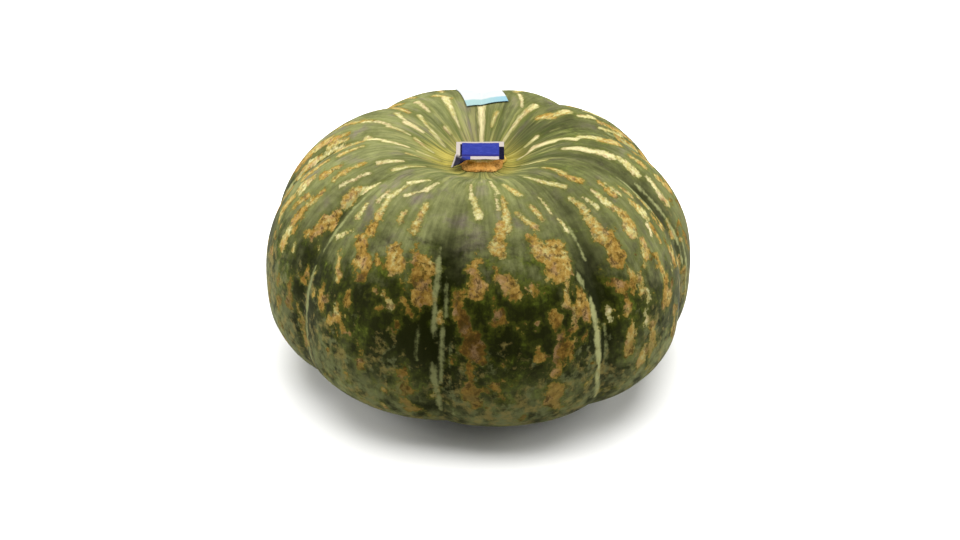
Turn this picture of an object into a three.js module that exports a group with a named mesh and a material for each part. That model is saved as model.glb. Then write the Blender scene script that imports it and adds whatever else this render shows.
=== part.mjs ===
// A kabocha squash standing on its blossom end: a squat ribbed fruit, its short corky stem, and the two plain
// paper stickers of a shop fruit, one on the cut of the stem and one on the far shoulder.
// Millimetres, +Z up. The origin is on the floor under the middle of the fruit. Azimuths are in degrees,
// from -Y (the front) towards +X, so +X is at 90.
import * as THREE from "three";
import { mergeVertices } from "three/addons/utils/BufferGeometryUtils.js";

// The fruit's side view is two superellipse halves that meet at the widest level.
const CREST_RADIUS = 90.2; // the ribs' crests at the widest level
const WIDEST_Z = 43.3;
const UPPER_HEIGHT = 65.2; // above the widest level, before the stem's dimple is sunk
const LOWER_HEIGHT = 44.1; // this is a little more than the level stands up, which flattens the foot
const UPPER_FULLNESS = 2.14; // the superellipse powers: 2 is an ellipse, more is boxier
const LOWER_FULLNESS = 3.2;

// The stem sits in a wide dimple, and the blossom end in a small one.
const STEM_DIMPLE = { depth: 22, radius: 31 };
const BLOSSOM_DIMPLE = { depth: 5.5, radius: 15 };
const SEAT_RADIUS = 11.6; // the level spot in the dimple that the stem grows from

// The ribs are parted by grooves. Each width is the angle from one groove to the next.
const FIRST_GROOVE = -56.5;
const RIB_WIDTHS = [46, 44, 40.5, 35, 36, 35, 41, 41.5, 41];
const GROOVE_DEPTH = 3.7;
const GROOVE_CREASE = 0.09; // radians: how fast the sharp part of a groove fades
const GROOVE_ROUNDING = 0.02; // radians: the crease's rounded bottom
const RIB_ROUNDNESS = 0.38; // radians: how far the rib's own roundness reaches from the groove
const GROOVES_FULL = 78; // they grow from nothing at the seat's edge to their depth at this radius
const UNDERSIDE = { height: 32, share: 0.35 }; // below this height they fade to this share of their depth

// Nothing that grew is quite even. Seen from above, waves of one, two and three lobes change the radius.
const UNEVEN = [
  { lobes: 1, share: 0.012, turned: 180 },
  { lobes: 2, share: 0.013, turned: 40 },
  { lobes: 3, share: 0.0055, turned: 20 },
];

// The stem is a low corky stump with a flared foot, cut level. Turned puts a hollow between two ridges in front.
const STEM = { height: 4.8, foot: 11.2, waist: 8, cut: 8.1, ridges: 5, ridgeHeight: 0.7, turned: 36 };
const STEM_SEGMENTS = 60;

// The stickers.
const PAPER = 0.6; // thicker than paper, so that it is a solid
const STICKER_STEPS = 12;
const STEM_STICKER = { width: 19.6, length: 15.4, offset: -0.6 };
const TONGUE = { from: 9.1, over: 1.6, angle: 22, stretch: 1.9 }; // its torn front left corner, beyond the rim
const FAR_STICKER = { width: 18, length: 22, azimuth: 180, out: 37, turned: 14, lift: 0.35 };

const FRUIT_SEGMENTS = RIB_WIDTHS.length * 12;
const FRUIT_RINGS = 38;
const PROFILE_STEPS = 720;
const SLOPE_STEP = 0.008; // share of the side view that its slope is measured over

const radians = THREE.MathUtils.degToRad;
const smoothstep = THREE.MathUtils.smoothstep;

const grooves = RIB_WIDTHS.map((_, i) =>
  FIRST_GROOVE + RIB_WIDTHS.slice(0, i).reduce((sum, width) => sum + width, 0),
);

// ---- The fruit's surface ---------------------------------------------------------------------------------

// The side view as a polyline from the seat's edge to the blossom end, x as the radius and y as the height.
function sideView() {
  const points = [new THREE.Vector2(0, seatHeight())];
  for (let i = 0; i <= PROFILE_STEPS; i++) {
    const turn = (Math.PI * i) / PROFILE_STEPS;
    const upper = turn <= Math.PI / 2;
    const power = 2 / (upper ? UPPER_FULLNESS : LOWER_FULLNESS);
    const radius = CREST_RADIUS * Math.max(Math.sin(turn), 0) ** power;
    const reach = Math.abs(Math.cos(turn)) ** power;
    if (upper && radius < SEAT_RADIUS) continue;
    const height = upper
      ? WIDEST_Z + UPPER_HEIGHT * reach - dent(STEM_DIMPLE, radius)
      : WIDEST_Z - LOWER_HEIGHT * reach + dent(BLOSSOM_DIMPLE, radius);
    points.push(new THREE.Vector2(radius, height));
  }
  points[1].set(SEAT_RADIUS, seatHeight());
  return points;
}

function dent({ depth, radius }, at) {
  return depth * Math.exp(-((at / radius) ** 2));
}

function seatHeight() {
  const reach = (1 - (SEAT_RADIUS / CREST_RADIUS) ** UPPER_FULLNESS) ** (1 / UPPER_FULLNESS);
  return WIDEST_Z + UPPER_HEIGHT * reach - dent(STEM_DIMPLE, SEAT_RADIUS);
}

// A path gives the point at any share of its length, from 0 to 1.
const profile = new THREE.Path(sideView());
const profileLength = profile.getLength();

function angleFromGroove(azimuth) {
  const apart = grooves.map((groove) => Math.abs(((azimuth - groove + 540) % 360) - 180));
  return radians(Math.min(...apart));
}

// How deep the surface lies under a rib's crest, as a share of the groove's depth.
function grooveShare(azimuth) {
  const angle = angleFromGroove(azimuth);
  const crease = Math.exp(-(Math.hypot(angle, GROOVE_ROUNDING) - GROOVE_ROUNDING) / GROOVE_CREASE);
  const roundness = Math.max(0, 1 - angle / RIB_ROUNDNESS) ** 2;
  return (crease + roundness) / 2;
}

// The grooves' depth at a point of the side view, as a share of the whole depth.
function grooveGrowth(flat) {
  const fromSeat = smoothstep(flat.x, SEAT_RADIUS, GROOVES_FULL);
  const underneath = UNDERSIDE.share + (1 - UNDERSIDE.share) * smoothstep(flat.y, 0, UNDERSIDE.height);
  return fromSeat * underneath;
}

function unevenness(azimuth) {
  const waves = UNEVEN.map(({ lobes, share, turned }) => share * Math.sin(radians(lobes * azimuth + turned)));
  return waves.reduce((sum, wave) => sum + wave, 1);
}

// A point of the skin: share runs along the side view from the stem's axis to the blossom end, and lift is
// the height above the skin.
function skin(azimuth, share, lift = 0) {
  const flat = profile.getPoint(share);
  const before = profile.getPoint(Math.max(share - SLOPE_STEP, 0));
  const after = profile.getPoint(Math.min(share + SLOPE_STEP, 1));
  const along = after.sub(before).normalize();
  const outward = { radius: -along.y, height: along.x };
  const sunk = GROOVE_DEPTH * grooveShare(azimuth) * grooveGrowth(flat);
  const radius = (flat.x + outward.radius * (lift - sunk)) * unevenness(azimuth);
  const height = flat.y + outward.height * (lift - sunk);
  const around = radians(azimuth);
  return new THREE.Vector3(radius * Math.sin(around), -radius * Math.cos(around), Math.max(height, 0));
}

// Faces wound so that they point outwards, and the doubled points along seams merged.
function closed(geometry) {
  geometry.deleteAttribute("uv");
  geometry.deleteAttribute("normal");
  return mergeVertices(geometry, 1e-4);
}

// A unit sphere's grid laid over the skin. The grid has the same number of steps in every rib.
function fruitGeometry() {
  const geometry = closed(new THREE.SphereGeometry(1, FRUIT_SEGMENTS, FRUIT_RINGS));
  const position = geometry.attributes.position;
  const seatShare = SEAT_RADIUS / profileLength;
  for (let i = 0; i < position.count; i++) {
    const point = new THREE.Vector3().fromBufferAttribute(position, i);
    const turn = (Math.atan2(-point.z, point.x) / (2 * Math.PI) + 1) % 1;
    const rib = Math.floor(turn * RIB_WIDTHS.length + 1e-6) % RIB_WIDTHS.length;
    const within = turn * RIB_WIDTHS.length - rib;
    const azimuth = grooves[rib] + within * RIB_WIDTHS[rib];
    const ring = Math.round((Math.acos(THREE.MathUtils.clamp(point.y, -1, 1)) / Math.PI) * FRUIT_RINGS);
    const share = ring === 0 ? 0 : seatShare + ((1 - seatShare) * (ring - 1)) / (FRUIT_RINGS - 1);
    position.setXYZ(i, ...skin(azimuth, share));
  }
  return geometry;
}

// ---- The stem --------------------------------------------------------------------------------------------

// The stump's outline, turned round the axis. Its ridges run up from the toes of the foot and fade at the cut.
function stemGeometry() {
  const { height, foot, waist, cut, ridges, ridgeHeight, turned } = STEM;
  const outline = [
    [0, 0],
    [foot - 0.4, 0],
    [foot, 0.35],
    [foot - 0.6, 1.0],
    [waist + 0.9, 1.7],
    [waist + 0.2, 2.5],
    [waist, 3.4],
    [cut, 4.1],
    [cut - 0.2, height - 0.3],
    [cut - 0.7, height],
    [0, height],
  ].map(([radius, z]) => new THREE.Vector2(radius, z));
  const geometry = closed(new THREE.LatheGeometry(outline, STEM_SEGMENTS));
  geometry.rotateX(Math.PI / 2);
  const position = geometry.attributes.position;
  for (let i = 0; i < position.count; i++) {
    const point = new THREE.Vector3().fromBufferAttribute(position, i);
    const radius = Math.hypot(point.x, point.y);
    if (radius < 1) continue;
    const around = Math.atan2(point.x, -point.y) + radians(turned);
    const toes = Math.cos(ridges * around) + 0.35 * Math.cos((2 * ridges + 1) * around + 1);
    const grown = ridgeHeight * (toes - 1.35) * (1 - 0.6 * (point.z / height));
    const scale = (radius + grown) / radius;
    position.setXYZ(i, point.x * scale, point.y * scale, point.z);
  }
  return geometry;
}

// ---- The stickers ----------------------------------------------------------------------------------------

// A sheet of paper as a box's grid, moved point by point: place gives the point at a distance across and
// along the sheet, and at a height above its underside.
function sheetGeometry(width, length, place) {
  const geometry = closed(new THREE.BoxGeometry(1, 1, 1, STICKER_STEPS, STICKER_STEPS, 1));
  const position = geometry.attributes.position;
  for (let i = 0; i < position.count; i++) {
    const above = position.getZ(i) > 0 ? PAPER : 0;
    position.setXYZ(i, ...place(position.getX(i) * width, position.getY(i) * length, above));
  }
  return geometry;
}

// The sheet on the cut of the stem is flat, and its front left corner is drawn out into a tongue that dips
// beyond the rim.
function onStem(across, along, above) {
  const diagonal = new THREE.Vector3(-1, -1, 0).normalize();
  const flat = new THREE.Vector3(STEM_STICKER.offset + across, along, 0);
  const past = Math.max(flat.dot(diagonal) - TONGUE.from, 0);
  const drawn = past * TONGUE.stretch;
  const bend = radians(TONGUE.angle) * smoothstep(past, 0, TONGUE.over);
  const out = drawn * Math.cos(bend) - past + above * Math.sin(bend);
  const up = -drawn * Math.sin(bend) + above * Math.cos(bend);
  return flat.addScaledVector(diagonal, out).setZ(up);
}

// The sheet on the far shoulder is bent to the skin, a little clear of it.
function onFarShoulder(across, along, above) {
  const { length, azimuth, out, turned, lift } = FAR_STICKER;
  const [cos, sin] = [Math.cos(radians(turned)), Math.sin(radians(turned))];
  const sideways = across * cos - along * sin;
  const outwards = out + length / 2 + across * sin + along * cos;
  const share = outwards / profileLength;
  const around = THREE.MathUtils.radToDeg(sideways / profile.getPoint(share).x);
  return skin(azimuth - around, share, lift + above);
}

// ---- The assembly ----------------------------------------------------------------------------------------

const looks = {
  rind: { color: 0x4c5a33, roughness: 0.5 },
  cork: { color: 0xb98a4a, roughness: 0.9 },
  bluePaper: { color: 0x3a3fae, roughness: 0.6 },
  whitePaper: { color: 0xe4f3f5, roughness: 0.6 },
};

function piece(name, geometry, look) {
  const mesh = new THREE.Mesh(geometry, new THREE.MeshStandardMaterial({ ...look, metalness: 0 }));
  mesh.name = name;
  return mesh;
}

const fruit = piece("fruit", fruitGeometry(), looks.rind);
const stem = piece("stem", stemGeometry(), looks.cork);
const stemSheet = sheetGeometry(STEM_STICKER.width, STEM_STICKER.length, onStem);
const stemSticker = piece("stem_sticker", stemSheet, looks.bluePaper);
const farSheet = sheetGeometry(FAR_STICKER.width, FAR_STICKER.length, onFarShoulder);
const farSticker = piece("far_sticker", farSheet, looks.whitePaper);

// The origin goes under the middle of the fruit's own box.
const middle = new THREE.Box3().setFromObject(fruit).getCenter(new THREE.Vector3());
for (const mesh of [fruit, farSticker]) mesh.position.set(-middle.x, -middle.y, 0);
stem.position.set(-middle.x, -middle.y, seatHeight());
stemSticker.position.set(-middle.x, -middle.y, seatHeight() + STEM.height);

const squash = new THREE.Group();
squash.add(fruit, stem, stemSticker, farSticker);

export default squash;
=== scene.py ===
# %% [markdown]
# # A kabocha squash
# A kabocha is a squat squash with a hard, waxy, dark green rind. Cream streaks run out from the stem,
# turn into golden dashes on the shoulder and break up into clusters of tan spots lower down. This lesson
# builds one around a imported model of it: the fruit's skin with Geometry Nodes, its markings from a list
# of strokes, the corky stem stump, and the two plain stickers of a shop fruit.
#
# The imported model is the frame. Everything here lies in its coordinates, in metres, with +Z up, -Y at the
# front and the floor at zero. Its fruit's box is read, to print beside the grown fruit's size.

# %% Load the frame
import math
import random

import bpy
import numpy as np
from mathutils import Matrix, Vector, noise


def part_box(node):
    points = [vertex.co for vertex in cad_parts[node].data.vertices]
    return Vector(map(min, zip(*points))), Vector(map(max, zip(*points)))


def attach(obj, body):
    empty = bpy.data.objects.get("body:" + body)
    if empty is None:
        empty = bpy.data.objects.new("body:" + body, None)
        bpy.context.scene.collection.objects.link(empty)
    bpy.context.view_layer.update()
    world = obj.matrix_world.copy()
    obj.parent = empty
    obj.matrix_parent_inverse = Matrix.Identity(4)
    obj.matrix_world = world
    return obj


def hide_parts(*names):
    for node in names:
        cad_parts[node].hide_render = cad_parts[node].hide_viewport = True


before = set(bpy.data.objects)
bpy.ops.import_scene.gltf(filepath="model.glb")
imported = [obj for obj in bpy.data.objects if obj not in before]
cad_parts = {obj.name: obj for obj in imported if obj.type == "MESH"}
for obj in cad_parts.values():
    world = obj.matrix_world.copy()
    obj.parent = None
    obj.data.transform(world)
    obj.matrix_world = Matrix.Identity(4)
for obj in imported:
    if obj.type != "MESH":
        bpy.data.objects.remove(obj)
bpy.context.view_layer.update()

# Lengths are written in millimetres, times this.
MM = 0.001
print("frame nodes:", sorted(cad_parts))

# %% [markdown]
# ## The camera
# The squash is seen from a little above, as it lies on a table in front of somebody. A long lens from a
# metre away keeps the ribs from bulging towards the viewer. The aim point is near the middle of the
# fruit's height.

# %% Camera
CAMERA_ELEVATION = math.radians(30.5)
CAMERA_DISTANCE = 1.0
CAMERA_AIM = (0.5 * MM, 0.0, 38 * MM)
LENS_MM = 89.4

camera_data = bpy.data.cameras.new("camera")
camera_data.lens = LENS_MM
camera = bpy.data.objects.new("camera", camera_data)
bpy.context.scene.collection.objects.link(camera)
camera.location = (
    CAMERA_AIM[0],
    CAMERA_AIM[1] - CAMERA_DISTANCE * math.cos(CAMERA_ELEVATION),
    CAMERA_AIM[2] + CAMERA_DISTANCE * math.sin(CAMERA_ELEVATION),
)
camera.rotation_euler = (math.pi / 2 - CAMERA_ELEVATION, 0, 0)
bpy.context.scene.camera = camera
bpy.context.scene.view_settings.view_transform = "Standard"
print("camera at", tuple(round(v, 3) for v in camera.location))

# %% [markdown]
# ## Two helpers for nodes and colours
# Every material and every Geometry Nodes tree below is made by one function that adds a node. Values go
# to the node's sockets in their order, or by name, and a node given as a value is linked by its first
# output in use.
#
# Colours are written as the sRGB hex values that a paint program shows. Blender's sockets want linear
# light, so a hex value given to a colour socket is turned into that.

# %% Node and colour helpers
def add(tree, kind, *values, named=None, **settings):
    """Adds a node to a tree, with its settings, and with its sockets linked or set."""
    node = tree.nodes.new(kind)
    for setting, value in settings.items():
        setattr(node, setting, value)
    usable = [socket for socket in node.inputs if socket.enabled]
    wanted = list(zip(usable, values))
    for name, value in (named or {}).items():
        wanted.append((next(s for s in usable if s.name == name), value))
    for socket, value in wanted:
        if isinstance(value, bpy.types.Node):
            value = next(s for s in value.outputs if s.enabled)
        if isinstance(value, bpy.types.NodeSocket):
            tree.links.new(value, socket)
        elif isinstance(value, str) and socket.type == "RGBA":
            socket.default_value = hex_colour(value)
        elif value is not None:
            socket.default_value = value
    return node


def hex_colour(text):
    """An sRGB hex colour as linear red, green, blue and alpha."""
    parts = [int(text[i:i + 2], 16) / 255 for i in (1, 3, 5)]
    linear = [p / 12.92 if p <= 0.04045 else ((p + 0.055) / 1.055) ** 2.4 for p in parts]
    return (*linear, 1.0)


def new_material(name):
    """An empty material and its node tree."""
    material = bpy.data.materials.new(name)
    material.use_nodes = True
    material.node_tree.nodes.clear()
    return material, material.node_tree


MATH = "ShaderNodeMath"
VECTOR = "ShaderNodeVectorMath"
RANGE = "ShaderNodeMapRange"
MIX = "ShaderNodeMix"
NOISE = "ShaderNodeTexNoise"
ATTRIBUTE = "ShaderNodeAttribute"
STORE = "GeometryNodeStoreNamedAttribute"
# Settings that many nodes share: a range with soft ends, a mix of two colours, and values on points.
SOFT = {"interpolation_type": "SMOOTHSTEP"}
COLOURS = {"data_type": "RGBA"}
VECTORS = {"data_type": "FLOAT_VECTOR", "domain": "POINT"}
NUMBERS = {"data_type": "FLOAT", "domain": "POINT"}
print("linear leaf green:", [round(c, 3) for c in hex_colour("#5F6E46")])

# %% [markdown]
# ## The side view of the fruit
# A squash has a side view that is turned round its axis and then creased into ribs. This side view is two
# superellipse halves that meet at the widest level. The stem sinks a wide dimple into the top, and the
# blossom end a small one into the bottom. The lower half reaches a little under the floor, and the skin
# is clipped there later, which gives the fruit the flat foot that it stands on.
#
# The curve is a plain polyline object. Geometry Nodes can sample it at any share of its length.

# %% Outline curve
CREST_RADIUS = 90.2 * MM
WIDEST_Z = 43.3 * MM
UPPER_HEIGHT = 65.2 * MM
LOWER_HEIGHT = 44.1 * MM
UPPER_FULLNESS = 2.14
LOWER_FULLNESS = 3.2
# Each dimple's depth and width.
STEM_DIMPLE = (22 * MM, 31 * MM)
BLOSSOM_DIMPLE = (5.5 * MM, 15 * MM)
SEAT_RADIUS = 11.6 * MM
OUTLINE_STEPS = 720


def dent(dimple, radius):
    """How deep a dimple is at a distance from the axis."""
    depth, width = dimple
    return depth * math.exp(-((radius / width) ** 2))


def top_height(radius):
    """The height of the upper half at a distance from the axis."""
    reach = (1 - (radius / CREST_RADIUS) ** UPPER_FULLNESS) ** (1 / UPPER_FULLNESS)
    return WIDEST_Z + UPPER_HEIGHT * reach - dent(STEM_DIMPLE, radius)


def outline_points():
    """The side view from the seat of the stem to the blossom end, as radius and height."""
    points = [(0.0, top_height(SEAT_RADIUS)), (SEAT_RADIUS, top_height(SEAT_RADIUS))]
    for i in range(OUTLINE_STEPS + 1):
        turn = math.pi * i / OUTLINE_STEPS
        upper = turn <= math.pi / 2
        power = 2 / (UPPER_FULLNESS if upper else LOWER_FULLNESS)
        radius = CREST_RADIUS * max(math.sin(turn), 0) ** power
        reach = abs(math.cos(turn)) ** power
        if upper and radius > SEAT_RADIUS:
            points.append((radius, top_height(min(radius, CREST_RADIUS))))
        elif not upper:
            points.append((radius, WIDEST_Z - LOWER_HEIGHT * reach + dent(BLOSSOM_DIMPLE, radius)))
    return points


def polyline_object(name, points):
    """A curve object through the points. It only feeds a node tree, and is removed afterwards."""
    curve = bpy.data.curves.new(name, "CURVE")
    curve.dimensions = "3D"
    spline = curve.splines.new("POLY")
    spline.points.add(len(points) - 1)
    for point, (radius, height) in zip(spline.points, points):
        point.co = (radius, 0, height, 1)
    made = bpy.data.objects.new(name, curve)
    bpy.context.scene.collection.objects.link(made)
    return made


side_view = outline_points()
outline = polyline_object("outline", side_view)
outline_length = float(np.hypot(*np.diff(side_view, axis=0).T).sum())
print("outline length:", round(outline_length / MM, 1), "mm")

# %% [markdown]
# ## Where the grooves run
# The grooves part the ribs. They are marked by points on a unit circle, one at each groove's azimuth,
# counted in degrees from the front towards +X. A tree that knows a point's direction finds the nearest
# mark, and from the distance to it the angle to its groove. Moving one number moves a groove on
# everything that uses it.

# %% Groove marks
FIRST_GROOVE = -56.5
RIB_WIDTHS = (46, 44, 40.5, 35, 36, 35, 41, 41.5, 41)
grooves = [FIRST_GROOVE + sum(RIB_WIDTHS[:i]) for i in range(len(RIB_WIDTHS))]


def direction(azimuth):
    """The level direction at an azimuth in degrees."""
    return (math.sin(math.radians(azimuth)), -math.cos(math.radians(azimuth)), 0.0)


marks_mesh = bpy.data.meshes.new("groove_marks")
marks_mesh.from_pydata([direction(groove) for groove in grooves], [], [])
groove_marks = bpy.data.objects.new("groove_marks", marks_mesh)
bpy.context.scene.collection.objects.link(groove_marks)
print("grooves at", grooves)

# %% [markdown]
# ## One node group for the skin
# Both the fruit and the sticker on its shoulder need the same answer: where is the skin, for an azimuth
# and a share of the way down the outline? So the answer is a node group of its own. It samples the
# outline, sinks the point along the outline's normal by the groove's depth there, stretches the radius by
# waves of one, two and three lobes, because nothing that grew is quite round, and clips the foot at the
# floor.
#
# First come its inputs, and the level direction that belongs to the azimuth.

# %% Skin group
GROOVE_DEPTH = 3.7 * MM
# How far the crease reaches, how blunt its bottom is and how wide the rib's rounding is, all in radians.
GROOVE_CREASE = 0.09
GROOVE_ROUNDING = 0.02
RIB_ROUNDNESS = 0.38
LUMP_DEPTH = 0.7 * MM
PUCKER_DEPTH = 0.9 * MM
PEBBLE_DEPTH = 0.16 * MM


def new_tree(name, inputs, outputs):
    """A Geometry Nodes tree with named sockets. Returns the tree and its Group Input node."""
    tree = bpy.data.node_groups.new(name, "GeometryNodeTree")
    for label, kind, value in inputs:
        socket = tree.interface.new_socket(label, in_out="INPUT", socket_type="NodeSocket" + kind)
        if value is not None:
            socket.default_value = value
    for label, kind in outputs:
        tree.interface.new_socket(label, in_out="OUTPUT", socket_type="NodeSocket" + kind)
    return tree, tree.nodes.new("NodeGroupInput")


skin, given = new_tree(
    "skin",
    [
        ("Azimuth", "Float", None),
        ("Share", "Float", None),
        ("Lift", "Float", None),
        ("Outline", "Object", None),
        ("Groove Marks", "Object", None),
        ("Groove Depth", "Float", GROOVE_DEPTH),
        ("Crease", "Float", GROOVE_CREASE),
        ("Rounding", "Float", GROOVE_ROUNDING),
        ("Rib Roundness", "Float", RIB_ROUNDNESS),
        ("Lump Depth", "Float", LUMP_DEPTH),
        ("Pucker Depth", "Float", PUCKER_DEPTH),
        ("Pebble Depth", "Float", PEBBLE_DEPTH),
    ],
    [("Position", "Vector"), ("Direction", "Vector"), ("Way Down", "Float"), ("Groove", "Float")],
)
azimuth = given.outputs["Azimuth"]
sine = add(skin, MATH, azimuth, operation="SINE")
cosine = add(skin, MATH, azimuth, operation="COSINE")
forward = add(skin, MATH, cosine, -1.0, operation="MULTIPLY")
level = add(skin, "ShaderNodeCombineXYZ", sine, forward, 0.0)
print("skin group:", len(skin.interface.items_tree), "sockets")

# %% [markdown]
# ## The shape of a groove
# A groove is a narrow crease with a rounded bottom, on the wide rounding of the rib. So its depth is the
# mean of two curves of the angle to the nearest groove: one that dies away in a few degrees, and one that
# falls to nothing over the rib. That angle comes from the chord to the groove's mark on the unit circle.
#
# The groove starts at the stem's seat, is full on the shoulder and fades under the fruit.

# %% Grooves
GROOVES_FULL = 78 * MM
UNDERSIDE_HEIGHT = 32 * MM
UNDERSIDE_SHARE = 0.35


def sample_outline(tree, given, share):
    """The outline at a share of its length: a node with a position and a tangent."""
    info = add(tree, "GeometryNodeObjectInfo", given.outputs["Outline"])
    curve = info.outputs["Geometry"]
    return add(tree, "GeometryNodeSampleCurve", curve, named={"Factor": share}, mode="FACTOR")


marks_info = add(skin, "GeometryNodeObjectInfo", given.outputs["Groove Marks"])
nearest = add(
    skin,
    "GeometryNodeProximity",
    marks_info.outputs["Geometry"],
    named={"Sample Position": level},
    target_element="POINTS",
)
half_chord = add(skin, MATH, nearest.outputs["Distance"], 0.5, operation="MULTIPLY")
half_angle = add(skin, MATH, half_chord, operation="ARCSINE")
angle = add(skin, MATH, half_angle, 2.0, operation="MULTIPLY")

slope = add(skin, "ShaderNodeCombineXYZ", angle, given.outputs["Rounding"], 0.0)
slant = add(skin, VECTOR, slope, operation="LENGTH")
sharp = add(skin, MATH, given.outputs["Rounding"], slant, operation="SUBTRACT")
decay = add(skin, MATH, sharp, given.outputs["Crease"], operation="DIVIDE")
crease = add(skin, MATH, decay, operation="EXPONENT")
near = add(skin, RANGE, angle, 0.0, given.outputs["Rib Roundness"], 1.0, 0.0)
roundness = add(skin, MATH, near, near, operation="MULTIPLY")
both = add(skin, MATH, crease, roundness, operation="ADD")
groove_share = add(skin, MATH, both, 0.5, operation="MULTIPLY")

sample = sample_outline(skin, given, given.outputs["Share"])
flat = add(skin, "ShaderNodeSeparateXYZ", sample.outputs["Position"])
along = add(skin, "ShaderNodeSeparateXYZ", sample.outputs["Tangent"])
started = add(skin, RANGE, flat.outputs["X"], SEAT_RADIUS, GROOVES_FULL, 0.0, 1.0, **SOFT)
under = add(skin, RANGE, flat.outputs["Z"], 0.0, UNDERSIDE_HEIGHT, UNDERSIDE_SHARE, 1.0, **SOFT)
grown = add(skin, MATH, started, under, operation="MULTIPLY")
creased = add(skin, MATH, crease, grown, operation="MULTIPLY")
deep = add(skin, MATH, groove_share, given.outputs["Groove Depth"], operation="MULTIPLY")
sunk = add(skin, MATH, deep, grown, operation="MULTIPLY")
raised = add(skin, MATH, given.outputs["Lift"], sunk, operation="SUBTRACT")
print("with grooves:", len(skin.nodes), "nodes")

# %% [markdown]
# ## Lumps, puckers and pebbles
# Growth left broad shallow lumps, puckers that run out from the stem, and fine pebbling. Each could be a
# bump in the material, but a bump doesn't show at the outline, so they are real relief. Each is cut into
# the skin, so that the fruit never grows past its measured size. The place on the unrolled skin drives
# them.

# %% Skin relief
LUMP_SIZE = 24 * MM
PUCKER_SIZE = 9 * MM
PUCKER_STRETCH = (1.0, 1.0, 0.12)
PUCKERS_END = 45 * MM
PEBBLE_SIZE = 4 * MM
# The relief starts beyond the seat, so the stem stands on smooth skin.
RELIEF_STARTS = (SEAT_RADIUS - 2 * MM, 16 * MM)

unrolled = add(skin, VECTOR, level, (CREST_RADIUS,) * 3, operation="MULTIPLY")
down = add(skin, MATH, given.outputs["Share"], outline_length, operation="MULTIPLY")
way_down = add(skin, "ShaderNodeCombineXYZ", 0.0, 0.0, down)
on_skin = add(skin, VECTOR, unrolled, way_down, operation="ADD")
radially = add(skin, VECTOR, on_skin, PUCKER_STRETCH, operation="MULTIPLY")
fading = add(skin, RANGE, down, SEAT_RADIUS, PUCKERS_END, 1.0, 0.0, **SOFT)
pucker_depth = add(skin, MATH, given.outputs["Pucker Depth"], fading, operation="MULTIPLY")
clear = add(skin, RANGE, down, *RELIEF_STARTS, 0.0, 1.0, **SOFT)
for place, size, depth in (
    (on_skin, LUMP_SIZE, given.outputs["Lump Depth"]),
    (radially, PUCKER_SIZE, pucker_depth),
    (on_skin, PEBBLE_SIZE, given.outputs["Pebble Depth"]),
):
    waves = add(skin, NOISE, place, named={"Scale": 1 / size, "Detail": 1.0})
    cut = add(skin, MATH, waves, depth, operation="MULTIPLY")
    cut = add(skin, MATH, cut, clear, operation="MULTIPLY")
    raised = add(skin, MATH, raised, cut, operation="SUBTRACT")
print("with relief:", len(skin.nodes), "nodes")

# %% [markdown]
# ## From the outline to a place in space
# The outline runs outwards and down, so its outward normal is (-height, radius) of its direction. The
# point moves along that normal, its radius is stretched by the slow waves of an uneven growth, and it is
# turned to its azimuth. What would lie under the floor is laid on it.

# %% Skin position
# Each wave's lobes, its share of the radius, and how far it is turned, in degrees.
UNEVEN = ((1, 0.012, 180), (2, 0.013, 40), (3, 0.0055, 20))

lowered = add(skin, MATH, raised, along.outputs["Z"], operation="MULTIPLY")
radius = add(skin, MATH, flat.outputs["X"], lowered, operation="SUBTRACT")
lifted = add(skin, MATH, raised, along.outputs["X"], operation="MULTIPLY")
height = add(skin, MATH, flat.outputs["Z"], lifted, operation="ADD")
growth = 1.0
for lobes, share, turned in UNEVEN:
    phase = add(skin, MATH, azimuth, float(lobes), math.radians(turned), operation="MULTIPLY_ADD")
    wave = add(skin, MATH, phase, operation="SINE")
    growth = add(skin, MATH, wave, share, growth, operation="MULTIPLY_ADD")
radius = add(skin, MATH, radius, growth, operation="MULTIPLY")
outwards = add(skin, VECTOR, level, named={"Scale": radius}, operation="SCALE")
clipped = add(skin, MATH, height, 0.0, operation="MAXIMUM")
upwards = add(skin, "ShaderNodeCombineXYZ", 0.0, 0.0, clipped)
position = add(skin, VECTOR, outwards, upwards, operation="ADD")
add(skin, "NodeGroupOutput", position, level, down, creased)
print("skin group:", len(skin.nodes), "nodes")

# %% [markdown]
# ## The fruit
# A unit sphere's grid already has the right layout: rings from pole to pole and even steps round it,
# closed at both ends. The tree reads each point's azimuth and its share of the way down, asks the skin
# group where that point goes, and moves it there. It also leaves four attributes for the material: where
# the point lies on the unrolled skin, its direction, how far down from the stem it is, and how deep in a
# crease.
#
# On the unrolled skin a degree is as wide near the stem as at the widest level. Patterns drawn there come
# out narrow near the stem, as the real streaks do. The way down is squeezed near the stem for the same
# reason.

# %% Fruit tree
FRUIT_SEGMENTS = 480
FRUIT_RINGS = 205
# Where the squeeze starts and ends, and how strong it is at both.
SQUEEZE = (15 * MM, 85 * MM, 0.28, 1.0)


def ask_skin(tree, given, azimuth, share, **others):
    """The skin group in a tree that was given the outline and the groove marks."""
    asked = {
        "Azimuth": azimuth,
        "Share": share,
        "Outline": given.outputs["Outline"],
        "Groove Marks": given.outputs["Groove Marks"],
    }
    asked.update({label.replace("_", " ").title(): value for label, value in others.items()})
    return add(tree, "GeometryNodeGroup", node_tree=skin, named=asked)


def end_tree(tree, given, mesh):
    """Ends a tree: instances become real, and the finish is set."""
    mesh = add(tree, "GeometryNodeRealizeInstances", mesh)
    mesh = add(tree, "GeometryNodeSetMaterial", mesh, named={"Material": given.outputs["Material"]})
    add(tree, "NodeGroupOutput", mesh)


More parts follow.
